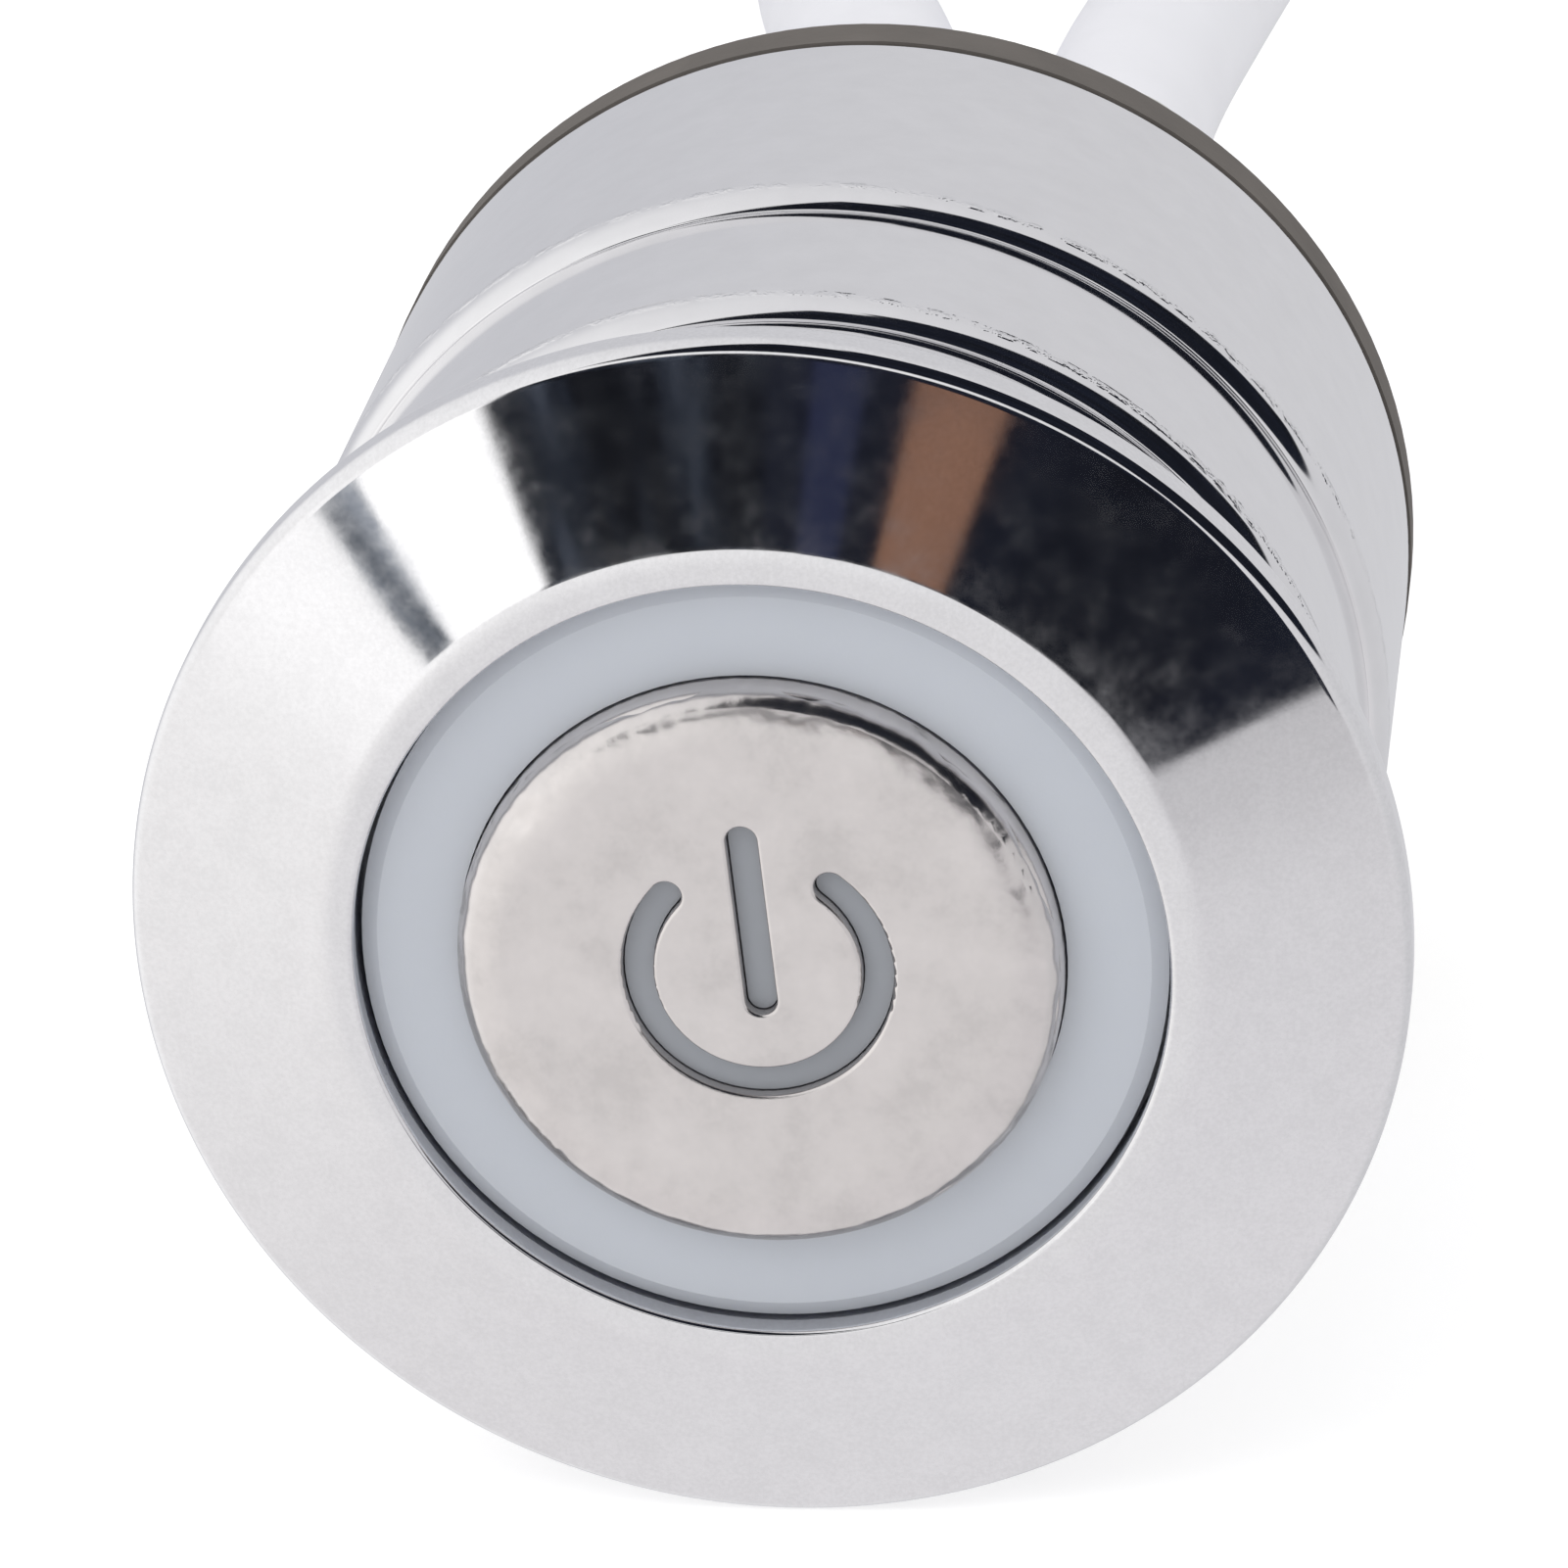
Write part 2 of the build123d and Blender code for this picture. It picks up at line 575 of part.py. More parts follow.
# Smoothing capacitor: round can beside the pin header
with BuildPart() as smoothing_capacitor:
    with BuildSketch(facing_plane(CONTROL_BOARD_BACK_Y + CAN_LENGTH)) as can_outline:
        with Locations(board_place(CAN_PLACE)):
            Circle(CAN_RADIUS)
    extrude(amount=CAN_LENGTH)
    fillet(smoothing_capacitor.edges().group_by(Axis.Y)[-1], CAN_ROUNDING)
smoothing_capacitor.part.label = "smoothing_capacitor"
export_step(smoothing_capacitor.part, "parts/smoothing_capacitor.step")


# Chip resistors: small blocks on the control board's rear face
with BuildPart() as chip_resistors:
    with BuildSketch(facing_plane(CONTROL_BOARD_BACK_Y + CHIP_RESISTOR_SIZE[2])) as resistor_outlines:
        with Locations(*[board_place(place) for place in CHIP_RESISTOR_PLACES]):
            Rectangle(CHIP_RESISTOR_SIZE[0], CHIP_RESISTOR_SIZE[1])
    extrude(amount=CHIP_RESISTOR_SIZE[2])
chip_resistors.part.label = "chip_resistors"
export_step(chip_resistors.part, "parts/chip_resistors.step")


# Chip capacitors: small blocks on the control board's rear face
with BuildPart() as chip_capacitors:
    with BuildSketch(facing_plane(CONTROL_BOARD_BACK_Y + CHIP_CAPACITOR_SIZE[2])) as capacitor_outlines:
        with Locations(*[board_place(place) for place in CHIP_CAPACITOR_PLACES]):
            Rectangle(CHIP_CAPACITOR_SIZE[0], CHIP_CAPACITOR_SIZE[1])
    extrude(amount=CHIP_CAPACITOR_SIZE[2])
chip_capacitors.part.label = "chip_capacitors"
export_step(chip_capacitors.part, "parts/chip_capacitors.step")


# Front sleeve: chromed section between the bezel's skirt and the rear sleeve
shoulder_y = CONTROL_BOARD_BACK_Y
sleeve_seal_place = (SLEEVE_BORE_R - SEAL_R, REAR_JOINT_Y + SPIGOT_LENGTH / 2)
with BuildPart() as front_sleeve:
    with BuildSketch(Plane.XY) as front_sleeve_section:
        with BuildLine():
            rounding = EllipticalCenterArc(
                (FRONT_SLEEVE_R - SLEEVE_STEP, FRONT_JOINT_Y + CORNER_DEPTH),
                SLEEVE_STEP,
                CORNER_DEPTH,
                start_angle=-90,
                arc_size=90,
            )
            Polyline(
                rounding @ 1,
                (FRONT_SLEEVE_R, REAR_JOINT_Y),
                (SPIGOT_R, REAR_JOINT_Y),
                (SPIGOT_R, SPIGOT_END_Y),
                (SPIGOT_R - SPIGOT_WALL, SPIGOT_END_Y),
                (SPIGOT_R - SPIGOT_WALL, shoulder_y + SHOULDER_THICKNESS),
                (SHOULDER_R, shoulder_y + SHOULDER_THICKNESS),
                (SHOULDER_R, shoulder_y),
                (CAVITY_R, shoulder_y),
                (CAVITY_R, THREAD_END_Y + THREAD_RELIEF),
                (FRONT_BORE_R, THREAD_END_Y + THREAD_RELIEF),
                (FRONT_BORE_R, FRONT_JOINT_Y),
                rounding @ 0,
            )
        make_face()
    revolve(axis=Axis.Y)
    with BuildSketch(Plane.XY) as spigot_groove:
        with Locations(sleeve_seal_place):
            Rectangle(SEAL_SECTION, SEAL_SECTION)
    revolve(axis=Axis.Y, mode=Mode.SUBTRACT)
front_sleeve.part.label = "front_sleeve"
export_step(front_sleeve.part, "parts/front_sleeve.step")


# Sleeve seal: O-ring on the front sleeve's spigot
with BuildPart() as sleeve_seal:
    with BuildSketch(Plane.XY) as sleeve_seal_section:
        with Locations(sleeve_seal_place):
            Circle(SEAL_R - SEAL_SQUEEZE)
    revolve(axis=Axis.Y)
sleeve_seal.part.label = "sleeve_seal"
export_step(sleeve_seal.part, "parts/sleeve_seal.step")


# Rear sleeve: the largest section, with a rib inside that the rear cap seats on
rib_r = SLEEVE_BORE_R - RIB_WIDTH
boss_reach = SLEEVE_BORE_R + WALL_CLEARANCE
cap_screw_places = [polar_place(CAP_SCREW_CIRCLE_R, angle) for angle in CAP_SCREW_ANGLES]
with BuildPart() as rear_sleeve:
    with BuildSketch(Plane.XY) as rear_sleeve_section:
        with BuildLine():
            rear_rounding = EllipticalCenterArc(
                (REAR_SLEEVE_R - SLEEVE_STEP, REAR_JOINT_Y + CORNER_DEPTH),
                SLEEVE_STEP,
                CORNER_DEPTH,
                start_angle=-90,
                arc_size=90,
            )
            Polyline(
                rear_rounding @ 1,
                (REAR_SLEEVE_R, SLEEVE_END_Y),
                (SLEEVE_BORE_R, SLEEVE_END_Y),
                (SLEEVE_BORE_R, CAP_FACE_Y),
                (rib_r, CAP_FACE_Y),
                (rib_r, CAP_FACE_Y - RIB_THICKNESS),
                (SLEEVE_BORE_R, CAP_FACE_Y - RIB_THICKNESS),
                (SLEEVE_BORE_R, REAR_JOINT_Y),
                rear_rounding @ 0,
            )
        make_face()
        rear_corner = rear_sleeve_section.vertices().sort_by_distance((REAR_SLEEVE_R, SLEEVE_END_Y))[0]
        fillet(rear_corner, REAR_EDGE_ROUNDING)
    revolve(axis=Axis.Y)
    with BuildSketch(facing_plane(CAP_FACE_Y)) as boss_outlines:
        with Locations(*cap_screw_places):
            Circle(CAP_BOSS_R)
        for angle in CAP_SCREW_ANGLES:
            with Locations(polar_place((CAP_SCREW_CIRCLE_R + boss_reach) / 2, angle)):
                Rectangle(boss_reach - CAP_SCREW_CIRCLE_R, 2 * CAP_SCREW_HEAD_R, rotation=angle)
        with Locations(*cap_screw_places):
            Circle(CAP_SCREW_R, mode=Mode.SUBTRACT)
    extrude(amount=CAP_BOSS_LENGTH)
rear_sleeve.part.label = "rear_sleeve"
export_step(rear_sleeve.part, "parts/rear_sleeve.step")


# Rear cap: flange that closes the sleeve, with a bore for the stem and a cradle for the two leads
lead_places = [(side * LEAD_OFFSET, 0) for side in SIDES.values()]
clamp_places = [(side * CLAMP_SCREW_OFFSET, CAP_FACE_Y - CRADLE_LENGTH / 2) for side in SIDES.values()]
cradle_low_z = -(LEAD_R + CRADLE_FLOOR)
post_top_z = LEAD_R
cap_seal_place = (SLEEVE_BORE_R - SEAL_R, (CAP_FACE_Y + SLEEVE_END_Y) / 2)
with BuildPart() as rear_cap:
    with BuildSketch(Plane.XY) as cap_section:
        with BuildLine():
            Polyline(
                (STEM_R, CAP_FACE_Y),
                (SPIGOT_R, CAP_FACE_Y),
                (SPIGOT_R, SLEEVE_END_Y),
                (CAP_LAND_R, SLEEVE_END_Y),
                (CAP_LAND_R, SLEEVE_END_Y + CAP_BOSS_HEIGHT),
                (STEM_R, SLEEVE_END_Y + CAP_BOSS_HEIGHT),
                close=True,
            )
        make_face()
    revolve(axis=Axis.Y)
    with BuildSketch(facing_plane(CAP_FACE_Y)) as cradle_outline:
        with Locations((0, cradle_low_z / 2)):
            Rectangle(2 * CRADLE_HALF_WIDTH, -cradle_low_z)
    extrude(amount=CRADLE_LENGTH)
    with BuildSketch(Plane.XY) as post_outlines:
        with Locations(*clamp_places):
            Circle(CLAMP_HEAD_RADIUS)
    extrude(amount=post_top_z)
    with BuildSketch(facing_plane(CAP_FACE_Y)) as lead_passages:
        with Locations(*lead_places):
            Circle(LEAD_BORE_R)
    extrude(amount=CRADLE_LENGTH, mode=Mode.SUBTRACT)
    with BuildSketch(Plane.XY.offset(post_top_z)) as clamp_holes:
        with Locations(*clamp_places):
            Circle(CLAMP_SCREW_RADIUS)
    extrude(amount=cradle_low_z, mode=Mode.SUBTRACT)
    with BuildSketch(facing_plane(SLEEVE_END_Y + CAP_BOSS_HEIGHT)) as cap_holes:
        with Locations(*cap_screw_places):
            Circle(CAP_SCREW_R)
    extrude(amount=CAP_BOSS_HEIGHT + CAP_THICKNESS, mode=Mode.SUBTRACT)
    with BuildSketch(facing_plane(SLEEVE_END_Y + CAP_BOSS_HEIGHT)) as cap_counterbores:
        with Locations(*cap_screw_places):
            Circle(CAP_SCREW_HEAD_R + WALL_CLEARANCE)
    extrude(amount=CAP_SCREW_HEAD_HEIGHT, mode=Mode.SUBTRACT)
    with BuildSketch(Plane.XY) as cap_groove:
        with Locations(cap_seal_place):
            Rectangle(SEAL_SECTION, SEAL_SECTION)
    revolve(axis=Axis.Y, mode=Mode.SUBTRACT)
rear_cap.part.label = "rear_cap"
export_step(rear_cap.part, "parts/rear_cap.step")


# Threaded stem: tube pressed into the cap, which passes through the panel
with BuildPart() as threaded_stem:
    with BuildSketch(Plane.XY) as stem_section:
        with BuildLine():
            Polyline(
                (STEM_BORE_R, CAP_FACE_Y),
                (STEM_R, CAP_FACE_Y),
                (STEM_R, STEM_LENGTH - STEM_CHAMFER),
                (STEM_R - STEM_CHAMFER, STEM_LENGTH),
                (STEM_BORE_R, STEM_LENGTH),
                close=True,
            )
        make_face()
    revolve(axis=Axis.Y)
threaded_stem.part.label = "threaded_stem"
export_step(threaded_stem.part, "parts/threaded_stem.step")


# Cap seal: O-ring in the groove round the cap's flange
with BuildPart() as cap_seal:
    with BuildSketch(Plane.XY) as cap_seal_section:
        with Locations(cap_seal_place):
            Circle(SEAL_R - SEAL_SQUEEZE)
    revolve(axis=Axis.Y)
cap_seal.part.label = "cap_seal"
export_step(cap_seal.part, "parts/cap_seal.step")


# Cap screws: pan heads sunk in the cap's boss, shanks into the rear sleeve's bosses
shank_r = CAP_SCREW_R - WALL_CLEARANCE
slot_length = 2 * CAP_SCREW_HEAD_R * (1 - CAP_SCREW_SLOT_SHARE)
slot_width = CAP_SCREW_HEAD_R * CAP_SCREW_SLOT_SHARE
with BuildPart() as cap_screws:
    with BuildSketch(facing_plane(SLEEVE_END_Y + CAP_BOSS_HEIGHT)) as cap_screw_heads:
        with Locations(*cap_screw_places):
            Circle(CAP_SCREW_HEAD_R)
    extrude(amount=CAP_SCREW_HEAD_HEIGHT)
    with BuildSketch(facing_plane(SLEEVE_END_Y + CAP_BOSS_HEIGHT)) as cap_screw_shanks:
        with Locations(*cap_screw_places):
            Circle(shank_r)
    extrude(amount=CAP_BOSS_HEIGHT + CAP_THICKNESS + CAP_SCREW_BITE)
    with BuildSketch(facing_plane(SLEEVE_END_Y + CAP_BOSS_HEIGHT)) as cap_screw_slots:
        for angle, place in zip(CAP_SCREW_ANGLES, cap_screw_places):
            with Locations(place):
                Rectangle(slot_length, slot_width, rotation=2 * angle)
                Rectangle(slot_width, slot_length, rotation=2 * angle)
    extrude(amount=CAP_SCREW_HEAD_HEIGHT / 2, mode=Mode.SUBTRACT)
cap_screws.part.label = "cap_screws"
export_step(cap_screws.part, "parts/cap_screws.step")


# Gasket: soft ring that seats on the panel, a little proud of the sleeve
with BuildPart() as gasket:
    with BuildSketch(facing_plane(0)) as gasket_outline:
        Circle(GASKET_R)
        Circle(GASKET_BORE_R, mode=Mode.SUBTRACT)
    extrude(amount=GASKET_THICKNESS)
gasket.part.label = "gasket"
export_step(gasket.part, "parts/gasket.step")


# Washer on the stem
with BuildPart() as washer:
    with BuildSketch(facing_plane(PANEL_GAP + WASHER_THICKNESS)) as washer_outline:
        Circle(WASHER_DIAMETER / 2)
        Circle(WASHER_BORE_DIAMETER / 2, mode=Mode.SUBTRACT)
    extrude(amount=WASHER_THICKNESS)
washer.part.label = "washer"
export_step(washer.part, "parts/washer.step")


# Nut: hexagon nut on the stem's thread, with its corners turned off
nut_y = PANEL_GAP + WASHER_THICKNESS
nut_corner_r = NUT_ACROSS_FLATS / 2 / cos(radians(30))
with BuildPart() as nut:
    with BuildSketch(facing_plane(nut_y + NUT_THICKNESS)) as nut_outline:
        RegularPolygon(nut_corner_r, 6)
        Circle(STEM_R + WALL_CLEARANCE, mode=Mode.SUBTRACT)
    extrude(amount=NUT_THICKNESS)
    with BuildSketch(Plane.XY) as nut_turning:
        with BuildLine():
            Polyline(
                (0, nut_y),
                (NUT_ACROSS_FLATS / 2, nut_y),
                (nut_corner_r, nut_y + NUT_CHAMFER),
                (nut_corner_r, nut_y + NUT_THICKNESS - NUT_CHAMFER),
                (NUT_ACROSS_FLATS / 2, nut_y + NUT_THICKNESS),
                (0, nut_y + NUT_THICKNESS),
                close=True,
            )
        make_face()
    revolve(axis=Axis.Y, mode=Mode.INTERSECT)
nut.part.label = "nut"
export_step(nut.part, "parts/nut.step")


# Cord clamp: bar across both sheaths, screwed to the cradle's posts
with BuildPart() as cord_clamp:
    with BuildSketch(facing_plane(CAP_FACE_Y)) as clamp_outline:
        with Locations((0, post_top_z + CLAMP_THICKNESS / 2)):
            Rectangle(2 * CRADLE_HALF_WIDTH, CLAMP_THICKNESS)
    extrude(amount=CRADLE_LENGTH)
    with BuildSketch(Plane.XY.offset(post_top_z)) as clamp_passages:
        with Locations(*clamp_places):
            Circle(CLAMP_SCREW_RADIUS)
    extrude(amount=CLAMP_THICKNESS, mode=Mode.SUBTRACT)
cord_clamp.part.label = "cord_clamp"
export_step(cord_clamp.part, "parts/cord_clamp.step")


# Clamp screws: heads on the bar, shanks through it into the posts
with BuildPart() as clamp_screws:
    with BuildSketch(Plane.XY.offset(post_top_z + CLAMP_THICKNESS)) as clamp_heads:
        with Locations(*clamp_places):
            Circle(CLAMP_HEAD_RADIUS)
    extrude(amount=CLAMP_HEAD_HEIGHT)
    with BuildSketch(Plane.XY.offset(post_top_z + CLAMP_THICKNESS)) as clamp_shanks:
        with Locations(*clamp_places):
            Circle(CLAMP_SCREW_RADIUS - WALL_CLEARANCE)
    extrude(amount=-(CLAMP_THICKNESS + post_top_z))
clamp_screws.part.label = "clamp_screws"
export_step(clamp_screws.part, "parts/clamp_screws.step")


# Sheathed end of each lead, from inside the body to the boot's tip
for name, side in SIDES.items():
    with BuildPart() as sheath:
        with BuildSketch(facing_plane(TIP_Y)) as sheath_outline:
            with Locations((side * LEAD_OFFSET, 0)):
                Circle(LEAD_R)
        extrude(amount=TIP_Y - SHEATH_END_Y)
    sheath.part.label = name + "_sheath"
    export_step(sheath.part, "parts/" + name + "_sheath.step")


# Cores: one brown and one blue core of each lead, from the sheath's end to the control board
core_run = SHEATH_END_Y - CONTROL_BOARD_BACK_Y
for colour, (level, shares) in CORE_PADS.items():
    pad_x, pad_z = board_place(shares)
    with BuildPart() as cores:
        for side in SIDES.values():
            start = Vector(side * LEAD_OFFSET, SHEATH_END_Y, level * CORE_OFFSET)
            pad = Vector(side * pad_x, CONTROL_BOARD_BACK_Y, pad_z)
            with BuildLine() as core_path:
                FilletPolyline(
                    start,
                    start - Vector(0, CORE_STRAIGHT_SHARE * core_run, 0),
                    pad + Vector(0, CORE_STRAIGHT_SHARE * core_run, 0),
                    pad,
                    radius=1.5 * CORE_RADIUS,
                )
            with BuildSketch(facing_plane(SHEATH_END_Y)) as core_outline:
                with Locations((side * LEAD_OFFSET, level * CORE_OFFSET)):
                    Circle(CORE_RADIUS)
            sweep(path=core_path.wires()[0])
    cores.part.label = colour + "_cores"
    export_step(cores.part, "parts/" + colour + "_cores.step")


# Cord boot: plug in the stem's mouth, flange, and a tapered grooved snout round each lead
with BuildPart() as cord_boot:
    with BuildSketch(facing_plane(STEM_LENGTH)) as boot_plug:
        Circle(STEM_BORE_R - WALL_CLEARANCE)
    extrude(amount=BOOT_PLUG_LENGTH)
    with BuildSketch(facing_plane(FLANGE_END_Y)) as boot_flange:
        Circle(BOOT_FLANGE_DIAMETER / 2)
    extrude(amount=BOOT_FLANGE_THICKNESS)
    fillet(cord_boot.edges().group_by(Axis.Y)[-1], BOOT_FLANGE_ROUNDING)
    for side in SIDES.values():
        with BuildSketch(Plane.XY) as snout_section:
            with BuildLine():
                Polyline(
                    (side * LEAD_OFFSET, STEM_LENGTH),
                    (side * (LEAD_OFFSET + SNOUT_BASE_RADIUS), STEM_LENGTH),
                    (side * (LEAD_OFFSET + SNOUT_BASE_RADIUS), FLANGE_END_Y),
                    (side * (LEAD_OFFSET + SNOUT_TIP_RADIUS), TIP_Y),
                    (side * LEAD_OFFSET, TIP_Y),
                    close=True,
                )
            make_face()
        revolve(axis=Axis((side * LEAD_OFFSET, 0, 0), (0, 1, 0)))
    for side in SIDES.values():
        for i in range(SNOUT_GROOVES):
            share = (i + 1) / (SNOUT_GROOVES + 1)
            groove_y = FLANGE_END_Y + share * SNOUT_LENGTH
            snout_r = SNOUT_BASE_RADIUS + share * (SNOUT_TIP_RADIUS - SNOUT_BASE_RADIUS)
            outer_x = LEAD_OFFSET + snout_r
            with BuildSketch(Plane.XY) as groove_section:
                with Locations((side * outer_x, groove_y)):
                    Rectangle(2 * SNOUT_GROOVE_DEPTH, SNOUT_GROOVE_WIDTH)
            revolve(axis=Axis((side * LEAD_OFFSET, 0, 0), (0, 1, 0)), mode=Mode.SUBTRACT)
    with BuildSketch(facing_plane(TIP_Y)) as boot_passages:
        with Locations(*lead_places):
            Circle(LEAD_BORE_R)
    extrude(amount=TIP_Y - STEM_LENGTH + BOOT_PLUG_LENGTH, mode=Mode.SUBTRACT)
cord_boot.part.label = "cord_boot"
export_step(cord_boot.part, "parts/cord_boot.step")


def swept_lead(points, label):
    """A round lead along straight runs joined by tangent arcs; prints its radii and volume."""
    radii = corner_radii(points)
    with BuildLine() as route:
        FilletPolyline(*points, radius=radii)
    wire = route.wires()[0]
    with BuildPart() as lead:
        with BuildSketch(Plane(origin=points[0], z_dir=points[1] - points[0])) as lead_section:
            Circle(LEAD_R)
        sweep(path=wire)
    lead.part.label = label
    export_step(lead.part, "parts/" + label + ".step")
    expected = pi * LEAD_R**2 * wire.length
    print(label, "length", round(wire.length, 1), "volume share", round(lead.part.volume / expected, 4))
    print(label, "radii", [round(r, 1) for r in radii])


# Each lead: free stretch, fold and return, one piece from the boot to its connector
for name in SIDES:
    swept_lead(lead_route(name), name + "_lead")


# Ties: a band round each pair of runs, with its lock on the inner side
tie_middle_z = (LOWER_Z + UPPER_Z) / 2
stack_width = LEAD_DIAMETER + 2 * TIE_CLEARANCE
stack_height = UPPER_Z - LOWER_Z + stack_width
with BuildPart() as cord_ties:
    for side in SIDES.values():
        head_x = side * (FOLD_RADIUS - stack_width / 2 - TIE_THICKNESS / 2 - TIE_HEAD_SIZE / 4)
        with BuildSketch(facing_plane(TIE_Y)) as tie_outline:
            with Locations((side * FOLD_RADIUS, tie_middle_z)):
                SlotOverall(
                    stack_height + 2 * TIE_THICKNESS, stack_width + 2 * TIE_THICKNESS, rotation=90
                )
            with Locations((head_x, tie_middle_z)):
                Rectangle(TIE_HEAD_SIZE / 2, TIE_HEAD_SIZE)
            with Locations((side * FOLD_RADIUS, tie_middle_z)):
                SlotOverall(stack_height, stack_width, rotation=90, mode=Mode.SUBTRACT)
        extrude(amount=TIE_WIDTH)
cord_ties.part.label = "cord_ties"
export_step(cord_ties.part, "parts/cord_ties.step")


# Connectors: a moulded body with a grooved tail; the supply's has pins, the load's has sockets
shoulder_end_y = CONNECTOR_ENTRY_Y - CONNECTOR_TAIL_LENGTH
connector_body_y = shoulder_end_y - CONNECTOR_BODY_LENGTH
for name, side in SIDES.items():
    has_pins = name == "supply"
    connector_z = CONNECTOR_HEIGHTS[name]
    centre_x = -side * FOLD_RADIUS
    contact_places = [(centre_x - CONTACT_OFFSET, connector_z), (centre_x + CONTACT_OFFSET, connector_z)]
    with BuildPart() as connector:
        with BuildSketch(Plane.XY.offset(connector_z)) as connector_section:
            with BuildLine():
                Polyline(
                    (centre_x, CONNECTOR_ENTRY_Y),
                    (centre_x + CONNECTOR_TAIL_RADIUS, CONNECTOR_ENTRY_Y),
                    (centre_x + CONNECTOR_NOSE_RADIUS, shoulder_end_y),
                    (centre_x + CONNECTOR_RADIUS, shoulder_end_y - CONNECTOR_SHOULDER),
                    (centre_x + CONNECTOR_RADIUS, connector_body_y),
                    (centre_x, connector_body_y),
                    close=True,
                )
            make_face()
        revolve(axis=Axis((centre_x, 0, connector_z), (0, 1, 0)))
        with BuildSketch(facing_plane(connector_body_y)) as nose_outline:
            with Locations((centre_x, connector_z)):
                if has_pins:
                    Circle(CONNECTOR_RADIUS)
                    Circle(CONNECTOR_RADIUS - CONNECTOR_WALL, mode=Mode.SUBTRACT)
                else:
                    Circle(CONNECTOR_NOSE_RADIUS)
            if not has_pins:
                with Locations(*contact_places):
                    Circle(CONTACT_PIN_RADIUS + CONTACT_WALL, mode=Mode.SUBTRACT)
        extrude(amount=CONNECTOR_NOSE_LENGTH)
    connector.part.label = name + "_connector"
    export_step(connector.part, "parts/" + name + "_connector.step")

    with BuildPart() as contacts:
        with BuildSketch(facing_plane(connector_body_y)) as contact_outlines:
            with Locations(*contact_places):
                if has_pins:
                    Circle(CONTACT_PIN_RADIUS)
                else:
                    Circle(CONTACT_PIN_RADIUS + CONTACT_WALL)
                    Circle(CONTACT_PIN_RADIUS, mode=Mode.SUBTRACT)
        extrude(amount=CONNECTOR_NOSE_LENGTH - CONTACT_SETBACK)
    contacts.part.label = name + "_contacts"
    export_step(contacts.part, "parts/" + name + "_contacts.step")
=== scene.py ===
"""Looks of a round touch switch for panels and furniture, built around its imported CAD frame.

Everything is in metres in the CAD frame: the switch's axis lies along Y, its face looks
towards -Y, +Z is up, and the origin is the centre of the gasket's rear face.
"""

import math

import bpy
import mathutils
import numpy as np
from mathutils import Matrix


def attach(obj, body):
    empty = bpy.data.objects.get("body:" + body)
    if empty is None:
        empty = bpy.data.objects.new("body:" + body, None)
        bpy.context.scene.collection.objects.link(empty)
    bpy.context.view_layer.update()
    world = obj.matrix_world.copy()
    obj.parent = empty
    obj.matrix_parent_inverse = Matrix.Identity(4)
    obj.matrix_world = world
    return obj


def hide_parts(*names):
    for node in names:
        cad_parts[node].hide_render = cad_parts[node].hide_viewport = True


bl_info = {
    "name": "Touch Switch",
    "version": (1, 0, 0),
    "blender": (4, 5, 0),
    "location": "View3D > Sidebar > Touch Switch",
    "description": "Builds the visible pieces of a round touch switch, its leads and its studio",
    "category": "Object",
}

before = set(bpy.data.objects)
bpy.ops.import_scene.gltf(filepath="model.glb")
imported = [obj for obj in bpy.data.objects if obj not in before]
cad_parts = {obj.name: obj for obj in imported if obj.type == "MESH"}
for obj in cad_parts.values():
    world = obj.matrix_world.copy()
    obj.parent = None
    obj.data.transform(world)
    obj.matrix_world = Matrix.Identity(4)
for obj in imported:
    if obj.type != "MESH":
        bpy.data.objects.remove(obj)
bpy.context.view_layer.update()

MM = 0.001
MICRON = 0.001 * MM
TURN = 2 * math.pi

# The camera, fitted to the circles of the bezel, the steps and the gasket
CAMERA_PLACE = np.array([29.21, -225.12, 90.34]) * MM
CAMERA_FORWARD = np.array([-0.1340, 0.9057, -0.4020])
CAMERA_RIGHT = np.array([0.9910, 0.1224, -0.0540])
CAMERA_LENS, CAMERA_SENSOR = 166.9, 36.0
CAMERA_CLIP = (0.01, 20.0)

# Where a lead leaves the boot and how far it runs straight, and then each lead's way to the hank in mm
LEAD_EXIT_X, LEAD_EXIT_Y, LEAD_STRAIGHT_Y = 4.4 * MM, 34.0 * MM, 43.0 * MM
SUPPLY_RUN = [(8.7, 60, -0.8), (11.8, 81, -4.6), (14.5, 101, -10.6), (18.5, 121, -14.6), (23.5, 144, -14.6)]
LOAD_RUN = [
    (5.9, 60, -0.8), (7.9, 81, -2.0), (14, 101, -2.8), (19, 121, -2.8), (23.5, 144, -2.8),
    (23.5, 164, -3.2), (23.5, 184, -7.5),
]

FLOOR_Z = -19.0 * MM
FLOOR_RADIUS = 3.0
DOME_DISTANCE = 25.0

# The dome's tones: azimuth, elevation and width of each lobe in degrees, and its red, green and blue
DOME_LOBES = [
    (-70, 8, 42, 1.12, 1.12, 1.12),
    (-42, -22, 16, 0.98, 0.965, 0.955),
    (-40, -45, 16, 0.70, 0.68, 0.70),
    (0, -60, 20, 0.79, 0.78, 0.80),
    (22, -38, 14, 0.80, 0.785, 0.81),
    (24, -22, 11, 0.70, 0.69, 0.71),
    (20, -12.5, 4, 0.38, 0.37, 0.385),
    (-31.5, -5, 4, 1.40, 1.40, 1.40),
    (-8, -24, 10, 0.76, 0.755, 0.77),
    (80, 0, 40, 0.66, 0.66, 0.68),
    (180, -12, 30, 0.62, 0.62, 0.645),
    (-150, -5, 20, 0.50, 0.51, 0.56),
    (150, 0, 20, 0.71, 0.71, 0.73),
    (0, 80, 40, 0.75, 0.75, 0.77),
]

